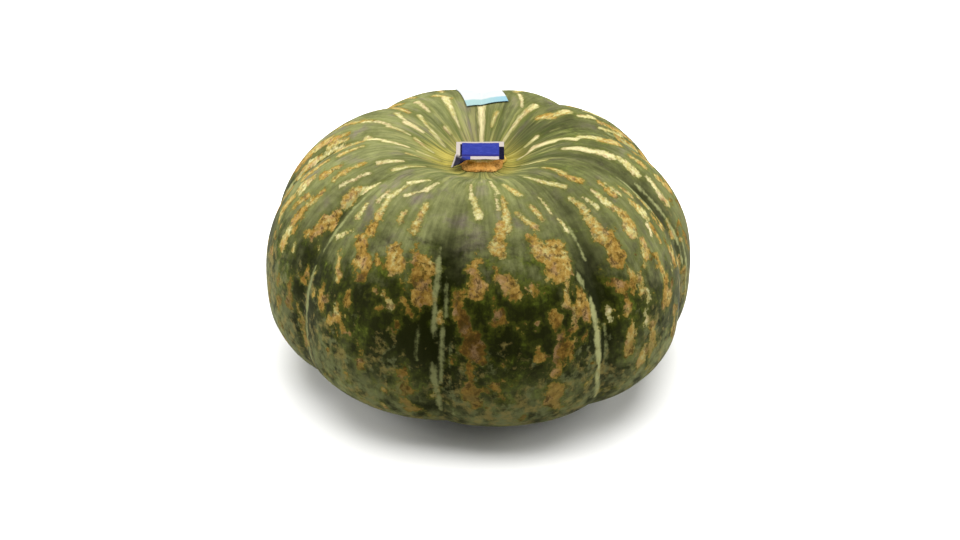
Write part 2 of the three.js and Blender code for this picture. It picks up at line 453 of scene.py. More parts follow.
fruit_tree, given = new_tree(
    "squash_fruit",
    [
        ("Outline", "Object", None),
        ("Groove Marks", "Object", None),
        ("Segments", "Int", FRUIT_SEGMENTS),
        ("Rings", "Int", FRUIT_RINGS),
        ("Material", "Material", None),
    ],
    [("Fruit", "Geometry")],
)
sphere = add(fruit_tree, "GeometryNodeMeshUVSphere", given.outputs["Segments"], given.outputs["Rings"], 1.0)
where = add(fruit_tree, "ShaderNodeSeparateXYZ", add(fruit_tree, "GeometryNodeInputPosition"))
front = add(fruit_tree, MATH, where.outputs["Y"], -1.0, operation="MULTIPLY")
azimuth = add(fruit_tree, MATH, where.outputs["X"], front, operation="ARCTAN2")
upright = add(fruit_tree, MATH, where.outputs["Z"], operation="ARCCOSINE")
share = add(fruit_tree, MATH, upright, math.pi, operation="DIVIDE")
skin_point = ask_skin(fruit_tree, given, azimuth, share)
heading = skin_point.outputs["Direction"]
down = skin_point.outputs["Way Down"]
squeezed = add(fruit_tree, RANGE, down, *SQUEEZE, **SOFT)
along = add(fruit_tree, MATH, down, squeezed, operation="MULTIPLY")
across = add(fruit_tree, VECTOR, heading, (CREST_RADIUS,) * 3, operation="MULTIPLY")
lengthways = add(fruit_tree, "ShaderNodeCombineXYZ", 0.0, 0.0, along)
unrolled = add(fruit_tree, VECTOR, across, lengthways, operation="ADD")

# The attributes are read from the sphere's own positions, so they are stored before the points move.
mesh = sphere.outputs["Mesh"]
for name, kind, value in (
    ("unrolled", VECTORS, unrolled),
    ("direction", VECTORS, heading),
    ("down", NUMBERS, down),
    ("groove", NUMBERS, skin_point.outputs["Groove"]),
):
    mesh = add(fruit_tree, STORE, mesh, named={"Name": name, "Value": value}, **kind)
moved = {"Position": skin_point.outputs["Position"]}
mesh = add(fruit_tree, "GeometryNodeSetPosition", mesh, named=moved)
mesh = add(fruit_tree, "GeometryNodeSetShadeSmooth", mesh)
end_tree(fruit_tree, given, mesh)
print("fruit tree:", len(fruit_tree.nodes), "nodes")

# %% [markdown]
# ## Growing the fruit
# The modifier's inputs are set by their sockets' identifiers. The evaluated result becomes the object's
# own plain mesh, and the modifier goes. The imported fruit's box is centred on the frame, while the tree
# works round the stem's axis, so the middle of the grown box says where that axis stands.

# %% Fruit mesh
rind, rind_tree = new_material("waxy squash rind")


def grow(name, tree, **inputs):
    """An object whose mesh is what a Geometry Nodes tree makes."""
    made = bpy.data.objects.new(name, bpy.data.meshes.new(name))
    bpy.context.scene.collection.objects.link(made)
    modifier = made.modifiers.new(tree.name, "NODES")
    modifier.node_group = tree
    for item in tree.interface.items_tree:
        label = item.name.lower().replace(" ", "_")
        if item.in_out == "INPUT" and label in inputs:
            modifier[item.identifier] = inputs[label]
    settle(made)
    return made


def settle(made):
    """Turns what an object's modifiers make into its own plain mesh."""
    graph = bpy.context.evaluated_depsgraph_get()
    mesh = bpy.data.meshes.new_from_object(
        made.evaluated_get(graph), preserve_all_data_layers=True, depsgraph=graph
    )
    made.modifiers.clear()
    made.data = mesh
    mesh.name = made.name
    if len(mesh.materials) > 1 and mesh.materials[0] is None:
        mesh.materials.pop(index=0)


def read_points(mesh, name="position", parts=3):
    """An attribute of a mesh's points as rows of numbers."""
    values = np.zeros(len(mesh.vertices) * parts, np.float32)
    mesh.attributes[name].data.foreach_get("vector" if parts == 3 else "value", values)
    return values.reshape(-1, parts) if parts == 3 else values


fruit = grow("squash_rind", fruit_tree, outline=outline, groove_marks=groove_marks, material=rind)
places = read_points(fruit.data)
AXIS = -(places.min(0) + places.max(0)) / 2 * (1, 1, 0)
low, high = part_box("fruit")
print("fruit:", len(fruit.data.polygons), "faces; stem's axis at", np.round(AXIS / MM, 2), "mm")
print("grown size", np.round((places.max(0) - places.min(0)) / MM, 1), "mm")
print("packed size", [round(c / MM, 1) for c in high - low], "mm")
fruit.data.transform(Matrix.Translation(AXIS.tolist()))
print("finishes:", [finish.name for finish in fruit.data.materials])

# %% [markdown]
# ## The marks on the rind
# A kabocha's marks are not random noise: they are single streaks and clusters that the eye remembers. So
# each one is a stroke with two ends, a width and a tone. The ends are an azimuth in degrees and a way
# down from the stem's axis in millimetres. Tone runs from 0, pale cream, over golden, to 1, tan brown.
# The streaks round the stem and the strokes of the front ribs are listed one by one, and those of the back
# ribs come from rules.

# %% Strokes listed one by one
# Each is (azimuth, way down) at its start, the same at its end, its width in millimetres, and its tone.
CROWN = [
    (180, 15, 180, 40, 3.8, -0.05), (-157, 24, -158, 32, 2.1, 0.05), (-157, 29, -159, 44, 4.1, 0.12),
    (-144, 22, -144, 26, 2.5, 0.1), (-124, 18, -128, 27, 2.6, 0.05), (-128, 27, -134, 37, 2.9, 0.12),
    (-120, 29, -120, 37, 4.0, 0.0), (-121, 37, -126, 45, 3.2, 0.1), (-132, 42, -135, 56, 5.6, 0.35),
    (-143, 37, -145, 49, 2.6, 0.0), (-162, 43, -156, 48, 4.7, 0.25), (-112, 42, -116, 62, 3.2, 0.05),
    (-114, 50, -116, 64, 3.8, 0.35), (-89, 31, -92, 41, 3.5, 0.03), (-94, 41, -98, 49, 4.2, 0.08),
    (-96, 51, -96, 63, 6.2, 0.3), (-102, 59, -103, 68, 4.7, 0.3), (-98, 20, -106, 29, 2.6, 0.15),
    (-108, 32, -110, 42, 2.6, 0.1), (-106, 74, -107, 81, 7.7, 0.35), (-100, 72, -101, 80, 3.4, 0.08),
    (-72, 22, -76, 33, 2.1, 0.2), (-84, 17, -86, 27, 2.2, 0.15), (170, 24, 168, 32, 2.9, 0.12),
    (148, 16, 148, 30, 2.4, 0.08), (148, 30, 147, 44, 4.1, 0.15), (153, 39, 160, 49, 2.6, 0.0),
    (135, 35, 129, 39, 6.7, 0.35), (128, 38, 128, 48, 5.3, 0.2), (122, 51, 122, 58, 4.6, 0.1),
    (90, 15, 103, 23, 2.8, 0.0), (103, 23, 98, 32, 4.0, 0.0), (100, 32, 93, 41, 3.7, 0.08),
    (82, 36, 82, 45, 3.8, 0.0), (81, 44, 83, 57, 4.9, 0.05), (96, 43, 96, 52, 5.3, 0.2),
    (94, 52, 98, 60, 7.2, 0.35), (113, 20, 116, 27, 2.4, 0.1), (66, 18, 66, 30, 2.1, 0.12),
]
LEFT_RIB = [
    (-64, 37, -67, 47, 3.0, 0.0), (-56, 28, -58, 44, 2.2, 0.15), (-71, 52, -72, 65, 4.0, 0.35),
    (-77, 61, -79, 69, 5.2, 0.45), (-63, 53, -66, 65, 2.7, 0.0), (-58.5, 61, -58.5, 67.5, 7.4, 0.36),
    (-70, 72, -71.5, 89, 5.2, 0.4), (-81, 74, -82, 80, 8.3, 0.25), (-59, 76, -59.5, 82.5, 7.4, 0.5),
    (-71.5, 93, -71, 101, 6.2, 0.28), (-82, 84, -82, 94, 5.7, 0.35), (-63, 108, -62, 122, 6.5, 0.7),
    (-69, 112, -68, 124, 6.5, 0.65), (-88, 50, -87, 60, 4.5, 0.3), (-88, 66, -88, 78, 6.0, 0.4),
    (-78, 100, -77, 110, 5.8, 0.6), (-90, 88, -90, 99, 6.5, 0.5), (-66, 96, -65.5, 99, 2.6, 0.3),
    (-58.5, 88.5, -57, 91.5, 2.6, 0.28), (-75, 79, -76, 86, 4.7, 0.4), (-58, 101, -57.5, 108, 4.5, 0.6),
    (-84, 110, -83.5, 122, 6.5, 0.55), (-76, 119, -76, 131, 6.5, 0.6), (-90, 120, -90, 132, 6.5, 0.6),
    (-82, 134, -82, 144, 6.5, 0.6), (-68, 135, -68, 145, 6.5, 0.6), (-57, 126, -56.5, 138, 7.0, 0.6),
]
FRONT_LEFT_RIB = [
    (-54, 53, -57, 60, 4.3, 0.1), (-44, 55, -45, 61, 2.8, 0.1), (-26, 41, -28, 48, 3.1, 0.0),
    (-28, 48, -35, 54, 2.7, 0.08), (-32, 41, -39, 47, 3.6, 0.05), (-39, 49, -41, 57, 3.4, 0.15),
    (-41, 57, -40, 66, 4.0, 0.25), (-40, 67, -39, 74, 6.2, 0.45), (-30.5, 61, -31, 66, 3.3, 0.3),
    (-24, 55, -24, 68, 4.5, 0.3), (-46, 77, -51, 82, 2.7, 0.1), (-41, 78, -36.5, 86, 9.2, 0.5),
    (-33, 83, -32, 85, 4.0, 0.5), (-46, 88, -42.5, 97, 4.0, 0.4), (-48.5, 64, -48, 71, 3.6, 0.2),
    (-28, 79, -26.5, 82, 9.7, 0.48), (-21, 78, -16.5, 80, 10.3, 0.5), (-18.5, 82, -17, 94, 10.8, 0.6),
    (-20, 98, -19, 101, 5.1, 0.7), (-47.8, 105.5, -46.7, 111, 7.0, 0.5),
    (-43.2, 113, -43, 117.5, 3.4, 0.55), (-38, 100, -37, 106, 6.2, 0.6),
    (-38.5, 110.5, -38, 117.5, 8.5, 0.62), (-27, 96, -25, 99, 4.0, 0.4),
    (-20.5, 127, -19.5, 137, 7.0, 0.62), (-22, 139, -19, 146, 8.0, 0.6), (-32, 121, -33, 132, 5.1, 0.75),
]
FRONT_RIB = [
    (-7, 36, -5, 48, 2.2, 0.1), (-4, 48, -1, 58, 4.2, 0.15), (13, 39, 18, 48, 3.7, 0.25),
    (6, 31, 8, 46, 1.9, 0.05), (10, 48, 9, 65, 3.8, 0.32), (7, 46, 7, 55, 1.9, 0.05),
    (21, 55, 23, 62, 3.4, 0.32), (27, 51, 28, 60, 2.2, 0.05), (14, 58, 19, 65, 4.2, 0.3),
    (7.5, 62, 5, 73, 7.0, 0.38), (-2, 78, -1.5, 90, 7.6, 0.55), (4.5, 82, 5.5, 84, 5.0, 0.55),
    (8, 84, 9.5, 91, 6.8, 0.52), (17, 71, 20, 77, 9.5, 0.42), (24, 75, 22.5, 83, 12.5, 0.46),
    (27, 95, 27.5, 103, 9.0, 0.58), (23.3, 92.5, 22.6, 98, 4.6, 0.4), (3, 95, 5.5, 102, 6.8, 0.8),
    (-7, 92, -6, 101, 5.4, 0.7), (-5, 100, -1.5, 114, 13.0, 0.92), (-3, 119, -2.5, 136, 10.5, 0.72),
    (24.6, 98.5, 23.8, 105, 3.6, 0.45), (18.8, 100, 19.2, 104, 6.5, 0.6), (20, 107.5, 20, 118, 9.5, 0.8),
    (14, 115, 14.8, 118, 8.5, 0.6), (22.8, 116.5, 22.2, 123, 6.5, 0.62), (18, 126, 18.5, 140, 11.0, 0.6),
    (4, 128, 4.5, 134, 6.0, 0.65),
]
FRONT_RIGHT_RIB = [
    (33, 32, 36, 42, 2.4, 0.08), (36, 42, 42, 50, 3.4, 0.2), (51, 33, 50, 45, 3.0, 0.3),
    (48, 44, 51, 52, 3.7, 0.4), (40, 56, 42, 64, 3.7, 0.25), (41, 65, 41, 76, 7.2, 0.35),
    (45, 59, 47, 66, 2.4, 0.08), (51, 59, 52, 67, 4.5, 0.2), (52, 67, 54, 72, 4.8, 0.3),
    (54, 72, 53, 81, 7.4, 0.35), (58, 58, 58, 65, 4.5, 0.42), (30, 63, 31, 69, 2.3, 0.05),
    (63, 72, 64, 80, 5.8, 0.25), (61, 84, 60, 88, 2.6, 0.1), (45, 77, 42.5, 88, 8.6, 0.5),
    (37.5, 93, 41.5, 98, 8.4, 0.66), (55, 86.5, 53, 92.5, 6.5, 0.38), (63, 90, 63, 93.5, 3.6, 0.4),
    (51, 93.5, 51, 96, 2.6, 0.25), (57.5, 96, 57.5, 103, 4.0, 0.4), (58, 107.5, 57, 115, 9.5, 0.48),
    (41.5, 103, 40.5, 110, 6.0, 0.5), (47, 113.5, 47, 118, 4.0, 0.15), (42, 115, 41, 127, 7.5, 0.45),
    (49.5, 120, 49.5, 132, 7.0, 0.45), (66, 95, 67, 108, 4.5, 0.45), (68, 84, 69, 90, 4.0, 0.4),
    (60.5, 60, 61, 67, 2.6, 0.2), (65, 64, 66, 71, 3.2, 0.3), (70, 72, 70, 80, 3.2, 0.3),
    (71, 84, 71, 91, 3.4, 0.35), (47.5, 98.5, 46.5, 104, 5.0, 0.4), (45, 92.5, 45, 95.5, 3.2, 0.4),
    (45, 97.5, 44, 102, 4.6, 0.55), (49, 105, 49, 109, 2.6, 0.2), (63.5, 103.5, 63.5, 106.5, 2.6, 0.15),
    (35.5, 104.5, 35.5, 109.5, 3.6, 0.1), (46, 131, 45.5, 136, 6.0, 0.4),
]
RIGHT_RIB = [
    (84, 60, 82, 69, 6.0, 0.18), (90, 66, 90, 73, 4.7, 0.35), (84, 76, 82, 84, 4.7, 0.1),
    (82, 84, 82, 89, 4.8, 0.25), (97, 70, 98, 80, 5.0, 0.4), (90, 80, 91, 90, 5.6, 0.4),
    (96, 88, 97, 98, 7.0, 0.5), (82, 100, 83, 112, 6.0, 0.6), (76, 92, 76, 100, 4.0, 0.5),
    (90, 104, 91, 114, 5.5, 0.65), (100, 98, 100.5, 110, 7.0, 0.5), (86, 117, 86.5, 129, 6.5, 0.5),
    (95, 118, 95.5, 131, 7.5, 0.6), (78, 118, 79, 130, 6.0, 0.55), (101, 122, 101.5, 133, 6.0, 0.65),
    (90, 138, 90, 148, 7.0, 0.6), (73, 108, 73.5, 117, 5.0, 0.4), (62, 124, 62, 135, 6.5, 0.5),
    (70, 134, 70.5, 145, 6.5, 0.6),
]
laid_out = CROWN + LEFT_RIB + FRONT_LEFT_RIB + FRONT_RIB + FRONT_RIGHT_RIB + RIGHT_RIB
print(len(laid_out), "strokes laid out by hand")

# %% [markdown]
# ## Strokes drawn by rule
# A rule is one sort of mark: how many degrees of azimuth one mark takes, and the ranges of its way down,
# its length, its width and its tone. Most rules run over the back of the fruit, from one edge of the
# listed layout round to the other. The one for freckles runs all round, because small specks lie
# between the large marks everywhere.

# %% Strokes by rule
LAYOUT_EDGES = (-95, 103)
# Degrees that one mark takes, then the ranges of way down, length, width and tone.
RULES = {
    "dashes": (8.5, (52, 62), (8, 17), (2.6, 6.0), (0.15, 0.4)),
    "shoulder": (8.5, (64, 76), (7, 15), (3.5, 8.0), (0.3, 0.5)),
    "clusters": (9.5, (80, 98), (7, 16), (5.0, 11.5), (0.45, 0.62)),
    "low clusters": (9.5, (102, 118), (6, 15), (4.5, 9.0), (0.6, 0.85)),
    "lowest": (11.0, (124, 150), (6, 14), (4.0, 7.0), (0.65, 0.9)),
}
FRECKLES = (4.2, (86, 152), (1, 4), (1.6, 3.6), (0.35, 0.85))
FRECKLE_ROUNDS = 3
RULE_SEED = 11
# Degrees that a mark's lower end may lie aside, and the shares of its room that it may take.
SWAY = 1.6
ROOM = (0.55, 1.5)


def strokes_by_rule(rule, start, end, chance):
    """Strokes from one azimuth to another, a little unevenly spaced."""
    every, downs, lengths, widths, tones = rule
    made = []
    azimuth = start + chance.uniform(0, every)
    while azimuth < end:
        down = chance.uniform(*downs)
        length = chance.uniform(*lengths)
        bottom = azimuth + chance.uniform(-SWAY, SWAY)
        width = chance.uniform(*widths)
        tone = chance.uniform(*tones)
        made.append((azimuth, down, bottom, down + length, width, tone))
        azimuth += every * chance.uniform(*ROOM)
    return made


chance = random.Random(RULE_SEED)
drawn = []
for rule in RULES.values():
    drawn += strokes_by_rule(rule, LAYOUT_EDGES[1], 360 + LAYOUT_EDGES[0], chance)
for turn in range(FRECKLE_ROUNDS):
    drawn += strokes_by_rule(FRECKLES, 0, 360, chance)
print(len(drawn), "strokes drawn by rule")

# %% [markdown]
# ## Painting the strokes on the skin
# For every point of the mesh, the distance to a stroke is measured on the skin in millimetres. What is
# kept is how deep the point lies inside the nearest stroke, negative outside it. The material turns that
# soft field into crisp, lumpy edges with its own finer noise, so the mesh needn't be as fine as the
# marks' outlines.
#
# The pale stripes along the grooves are a second field of the same kind, so they can have their own
# colour.

# %% Stroke fields
FAR_OUTSIDE = -6.0
UNMARKED_TONE = 0.4
TAPER = 0.55
STRIPES = [
    (-54.0, 98, -54.3, 150, 2.0, 0.3), (-52.5, 62, -53.5, 94, 1.6, 0.35),
    (-57.0, 60, -57.0, 72, 1.6, 0.3), (-13.6, 72, -12.4, 112, 1.7, 0.4), (-10.4, 84, -9.6, 102, 1.2, 0.1),
    (-16.8, 104, -16.6, 122, 1.0, 0.1), (-12.8, 121, -10.9, 149, 2.0, 0.35),
    (-10.2, 102, -10.5, 132, 1.8, 0.3), (-8.0, 112, -8.0, 136, 1.2, 0.2),
    (-7.2, 136, -7.4, 150, 1.2, 0.3), (28.5, 87, 29.2, 95, 2.2, 0.6), (30.5, 97, 32.2, 150, 3.2, 0.9),
    (33.8, 112, 34.2, 132, 1.0, 0.2), (32.6, 66, 33.2, 84, 1.6, 0.5), (71.5, 62, 71.8, 84, 1.8, 0.5),
    (76.5, 70, 76.5, 118, 2.4, 0.6), (79.0, 96, 79.2, 140, 1.8, 0.5), (107, 84, 107.2, 140, 2.2, 0.5),
    (111, 60, 111, 80, 1.8, 0.4), (143, 86, 143.4, 146, 2.6, 0.6), (147, 100, 147, 130, 1.5, 0.3),
    (182.5, 92, 182.5, 150, 2.4, 0.5), (178, 70, 178, 88, 1.8, 0.3), (223, 90, 223, 146, 2.6, 0.6),
    (219, 66, 219, 84, 1.8, 0.4), (260.5, 84, 260.5, 140, 2.4, 0.5), (264.5, 100, 264.6, 132, 1.5, 0.3),
]


def swelling(way):
    """How wide a mark is on its way down: it starts slender and ends blunt."""
    return TAPER + (1 - TAPER) * way


def spindle(way):
    """How wide a stripe is on its way down: thin at both ends."""
    return np.sqrt(np.sin(math.pi * way))


def paint(strokes, azimuth, down, radius, shape):
    """How deep each point lies inside the nearest stroke, in millimetres, and that stroke's tone."""
    depth = np.full(len(azimuth), FAR_OUTSIDE)
    tone = np.full(len(azimuth), UNMARKED_TONE)
    for top, start, bottom, end, width, stroke_tone in strokes:
        way = np.clip((down - start) / (end - start), 0, 1)
        aside = np.radians((azimuth - top - (bottom - top) * way + 180) % 360 - 180) * radius
        past = down - start - (end - start) * way
        inside = width / 2 * shape(way) - np.hypot(aside, past)
        nearer = inside > depth
        depth[nearer] = inside[nearer]
        tone[nearer] = stroke_tone
    return depth, tone


def keep(mesh, name, values):
    """A new number on every point of a mesh."""
    mesh.attributes.new(name, "FLOAT", "POINT").data.foreach_set("value", values.astype(np.float32))


places = read_points(fruit.data) - AXIS
directions = read_points(fruit.data, "direction")
azimuths = np.degrees(np.arctan2(directions[:, 0], -directions[:, 1]))
ways = read_points(fruit.data, "down", 1) / MM
radii = np.hypot(places[:, 0], places[:, 1]) / MM
mark, tone = paint(laid_out + drawn, azimuths, ways, radii, swelling)
stripe, stripe_tone = paint(STRIPES, azimuths, ways, radii, spindle)
for name, values in (("mark", mark), ("tone", tone), ("stripe", stripe), ("stripe_tone", stripe_tone)):
    keep(fruit.data, name, values)
print("share of the skin inside a stroke:", round(float((mark > 0).mean()), 3))

# %% [markdown]
# ## Rind: the green ground
# A kabocha's ground is never one green. It goes from near-black bottle green to olive in soft patches as
# broad as a thumb, and is dappled all over by finer ones. From the shoulder down, the creases between the
# ribs are painted darker, a painted shade. All of it is looked up on the unrolled skin, so it follows the
# ribs.
#
# The sum of the noises picks a colour on a ramp, because real skin shades through its greens one after
# another.

# %% Ground colours
GROUND_TONES = {0.0: "#111401", 0.35: "#1F2402", 0.6: "#363E0D", 0.85: "#52581C", 1.0: "#6A6D32"}
PATCH_SIZE = 26 * MM
DAPPLE_SIZE = 7 * MM
MOTTLE_SIZE = 2.2 * MM
LINE_SIZE = 2.6 * MM
LINE_STRETCH = 0.12
# Nearly all of a noise's values lie between these.
SPREAD = (0.3, 0.7)
PATCH_TONES = (-0.1, 0.58)
TONE_SWINGS = (0.34, 0.26, 0.14)
# Painted shade: where the creases' painted shade grows in on the way down, and how dark it is.
CREASE_SHADE_ENDS = (40 * MM, 85 * MM)
CREASE_SHADE_DEPTH = 0.55


def set_stops(ramp, stops):
    """Gives a colour ramp its colours, by their positions."""
    elements = ramp.color_ramp.elements
    while len(elements) < len(stops):
        elements.new(0.5)
    for element, (position, colour) in zip(elements, stops.items()):
        element.position = position
        element.color = hex_colour(colour)


spot = add(rind_tree, ATTRIBUTE, attribute_name="unrolled").outputs["Vector"]
down = add(rind_tree, ATTRIBUTE, attribute_name="down").outputs["Fac"]
groove = add(rind_tree, ATTRIBUTE, attribute_name="groove").outputs["Fac"]
patches = add(rind_tree, NOISE, spot, named={"Scale": 1 / PATCH_SIZE, "Detail": 3.0, "Roughness": 0.55})
dapple = add(rind_tree, NOISE, spot, named={"Scale": 1 / DAPPLE_SIZE, "Detail": 4.0, "Roughness": 0.65})
mottle = add(rind_tree, NOISE, spot, named={"Scale": 1 / MOTTLE_SIZE, "Detail": 4.0, "Roughness": 0.7})
lengthways = add(rind_tree, VECTOR, spot, (1.0, 1.0, LINE_STRETCH), operation="MULTIPLY")
lines = add(rind_tree, NOISE, lengthways, named={"Scale": 1 / LINE_SIZE, "Detail": 3.0, "Roughness": 0.6})
tones = add(rind_tree, RANGE, patches, *SPREAD, *PATCH_TONES)
for pattern, swing in zip((dapple, mottle, lines), TONE_SWINGS):
    varied = add(rind_tree, RANGE, pattern, *SPREAD, -swing, swing)
    tones = add(rind_tree, MATH, tones, varied, operation="ADD")
# Painted shade: from the shoulder down the creases between the ribs are painted darker.
shoulder = add(rind_tree, RANGE, down, *CREASE_SHADE_ENDS, 0.0, 1.0, **SOFT)
crease_shade = add(rind_tree, MATH, groove, shoulder, operation="MULTIPLY")
creased = add(rind_tree, MATH, crease_shade, -CREASE_SHADE_DEPTH, tones, operation="MULTIPLY_ADD")
ground = add(rind_tree, "ShaderNodeValToRGB", creased)
set_stops(ground, GROUND_TONES)
print("ground:", len(rind_tree.nodes), "nodes")

# %% [markdown]
# ## Rind: the bloom
# A thin grey-green coat lies on the shoulder, with a breath of mauve in it: partly real wax bloom, where
# the wax is thicker, and partly a painted sheen where the top of the fruit faces the light. It is rubbed
# off in patches and streaks and is kept out of the creases, so their painted shade stays dark. Its lower
# edge is ragged, and it reaches further down at the sides of the fruit, a painted reflection of the bright
# surroundings at grazing angles. It is thicker on the left, and clearer right of the stem.
# stem.
#
# Each of these is one factor. They are multiplied into how much of the bloom's and the painted sheen's
# colour is mixed over the green.

# %% Bloom and painted sheen
BLOOM_AND_SHEEN = "#6F7148"
MAUVE_BLOOM = "#675C55"
BLOOM_SIZE = 30 * MM
MAUVE_SIZE = 14 * MM
BLOOM_PATCHES = (0.3, 0.66, 0.25, 0.95)
BLOOM_STREAKS = (0.7, 1.25)
MAUVE_PATCHES = (0.52, 0.7, 0.0, 0.8)
# Where the bloom ends on its way down, how much is left there, and how ragged its edge is.
BLOOM_UNTIL = (92 * MM, 120 * MM)
BLOOM_LEFT_OVER = 0.05
BLOOM_RAGGED = 60 * MM
# From the left side to the right: how much lower the painted side reflection reaches, and how thick the
# coat is.
SIDE_SHEEN_LOWER = (-20 * MM, -40 * MM)
BLOOM_SHARES = (1.15, 0.8)
CREASE_SHADE_CLEARING = (0.12, 0.8, 1.0, 0.25)
CROWN_ENDS = (40 * MM, 70 * MM)
CROWN_CLEARER = 0.45

direction = add(rind_tree, ATTRIBUTE, attribute_name="direction").outputs["Vector"]
rightwards = add(rind_tree, "ShaderNodeSeparateXYZ", direction).outputs["X"]
sides = add(rind_tree, MATH, rightwards, rightwards, operation="MULTIPLY")
# Painted reflection: at the sides the coat reaches lower, as the bright surroundings reflect at grazing
# angles.
lower = add(rind_tree, RANGE, rightwards, -1.0, 1.0, *SIDE_SHEEN_LOWER)
reached = add(rind_tree, MATH, sides, lower, down, operation="MULTIPLY_ADD")
ragged_edge = add(rind_tree, MATH, dapple, BLOOM_RAGGED, reached, operation="MULTIPLY_ADD")
# Real bloom and painted sheen: the coat covers the upper fruit, which faces the light, and fades on the way
# down.
high_up = add(rind_tree, RANGE, ragged_edge, *BLOOM_UNTIL, 1.0, BLOOM_LEFT_OVER, **SOFT)
leaning = add(rind_tree, RANGE, rightwards, -1.0, 1.0, *BLOOM_SHARES)
# Painted shade: the coat and the painted floor reflection are kept out of the creases, so their painted
# shade stays dark.
outside_crease_shade = add(rind_tree, RANGE, crease_shade, *CREASE_SHADE_CLEARING)
crown = add(rind_tree, RANGE, down, *CROWN_ENDS, 1.0, 0.0, **SOFT)
crown_right = add(rind_tree, MATH, crown, rightwards, operation="MULTIPLY", use_clamp=True)
crown_share = add(rind_tree, MATH, crown_right, -CROWN_CLEARER, 1.0, operation="MULTIPLY_ADD")
streaked = add(rind_tree, RANGE, lines, *SPREAD, *BLOOM_STREAKS)
bloom_noise = add(rind_tree, NOISE, spot, named={"Scale": 1 / BLOOM_SIZE, "Detail": 6.0, "Roughness": 0.7})
bloom_and_sheen = add(rind_tree, RANGE, bloom_noise, *BLOOM_PATCHES)
for factor in (high_up, leaning, outside_crease_shade, crown_share):
    bloom_and_sheen = add(rind_tree, MATH, bloom_and_sheen, factor, operation="MULTIPLY")
bloom_and_sheen = add(rind_tree, MATH, bloom_and_sheen, streaked, operation="MULTIPLY", use_clamp=True)
mauve_noise = add(rind_tree, NOISE, spot, named={"Scale": 1 / MAUVE_SIZE, "Detail": 4.0, "Roughness": 0.6})
mauve = add(rind_tree, RANGE, mauve_noise, *MAUVE_PATCHES)
bloom_and_sheen_colour = add(rind_tree, MIX, mauve, BLOOM_AND_SHEEN, MAUVE_BLOOM, **COLOURS)
ground = add(rind_tree, MIX, bloom_and_sheen, ground, bloom_and_sheen_colour, **COLOURS)
print("with bloom:", len(rind_tree.nodes), "nodes")

# %% [markdown]
# ## Rind: the painted floor reflection, the halo and the rays
# Towards the floor the skin is painted grey-green in patches, a painted reflection of the bright floor in
# the wax. They start higher on the flanks and stay out of the creases. The dimple round the stem is olive
# gold, most at its sides, and reaches a little further on the left. Dark and cream rays run out of it. At
# the blossom end there is a tan scar.
#
# Each is a coat: a share of the skin that it covers, and a colour. They go over the green one by one.

# %% Painted floor reflection, halo and rays
FLOOR_SHEEN_GREEN = "#6C6E49"
FLOOR_SHEEN_FROM = (115 * MM, 170 * MM)
FLANK_RAISE = 23 * MM
FLOOR_SHEEN_MOST = 0.9
FLOOR_SHEEN_PATCHES = (0.38, 0.6, 0.05, 0.9)
OLIVE_HALO = "#9C8D3A"
HALO = (9 * MM, 27 * MM)
HALO_LEAN = 3 * MM
# The halo's shares in front and at its sides, and the squared way to the side that gives the second.
HALO_SHARES = (0.12, 0.75)
HALO_SIDES = 0.9
HALO_RAYS = (0.35, 0.6, 0.35, 1.3)
RAY_GREEN = "#38421E"
RAY_CREAM = "#8E8B56"
RAY_SIZE = 7 * MM
RAY_STRETCH = 0.45
RAYS_END = (26 * MM, 50 * MM)
DARK_RAYS = (0.34, 0.46, 0.6, 0.0)
CREAM_RAYS = (0.55, 0.61, 0.0, 0.38)
TAN_SCAR = "#8D7A4C"
SCAR_FROM = (229 * MM, 236 * MM)

flank_raised_way = add(rind_tree, MATH, sides, FLANK_RAISE, down, operation="MULTIPLY_ADD")
# Painted reflection: grey-green patches of the bright floor's reflection on the low skin, higher on the
# flanks.
floor_sheen = add(rind_tree, RANGE, flank_raised_way, *FLOOR_SHEEN_FROM, 0.0, FLOOR_SHEEN_MOST, **SOFT)
floor_sheen_patches = add(rind_tree, RANGE, dapple, *FLOOR_SHEEN_PATCHES)
floor_sheen_patches = add(rind_tree, MATH, floor_sheen, floor_sheen_patches, operation="MULTIPLY")
floor_sheen_patches = add(rind_tree, MATH, floor_sheen_patches, outside_crease_shade, operation="MULTIPLY")

ray_place = add(rind_tree, VECTOR, spot, (1.0, 1.0, RAY_STRETCH), operation="MULTIPLY")
rays = add(rind_tree, NOISE, ray_place, named={"Scale": 1 / RAY_SIZE, "Detail": 3.0, "Roughness": 0.6})
halo_way = add(rind_tree, MATH, rightwards, HALO_LEAN, down, operation="MULTIPLY_ADD")
halo_edge = add(rind_tree, RANGE, halo_way, *HALO, 1.0, 0.0, **SOFT)
halo_sides = add(rind_tree, RANGE, sides, 0.0, HALO_SIDES, *HALO_SHARES)
halo = add(rind_tree, MATH, halo_edge, halo_sides, operation="MULTIPLY")
halo_rays = add(rind_tree, RANGE, rays, *HALO_RAYS)
halo = add(rind_tree, MATH, halo, halo_rays, operation="MULTIPLY", use_clamp=True)
near_stem = add(rind_tree, RANGE, down, *RAYS_END, 1.0, 0.0, **SOFT)
dark_rays = add(rind_tree, RANGE, rays, *DARK_RAYS)
dark_rays = add(rind_tree, MATH, dark_rays, near_stem, operation="MULTIPLY")
cream_rays = add(rind_tree, RANGE, rays, *CREAM_RAYS)
cream_rays = add(rind_tree, MATH, cream_rays, near_stem, operation="MULTIPLY")
scar = add(rind_tree, RANGE, down, *SCAR_FROM, 0.0, 1.0, **SOFT)
for covered, coat in (
    (floor_sheen_patches, FLOOR_SHEEN_GREEN),
    (halo, OLIVE_HALO),
    (dark_rays, RAY_GREEN),
    (cream_rays, RAY_CREAM),
    (scar, TAN_SCAR),
):
    ground = add(rind_tree, MIX, covered, ground, coat, **COLOURS)
print("whole ground:", len(rind_tree.nodes), "nodes")

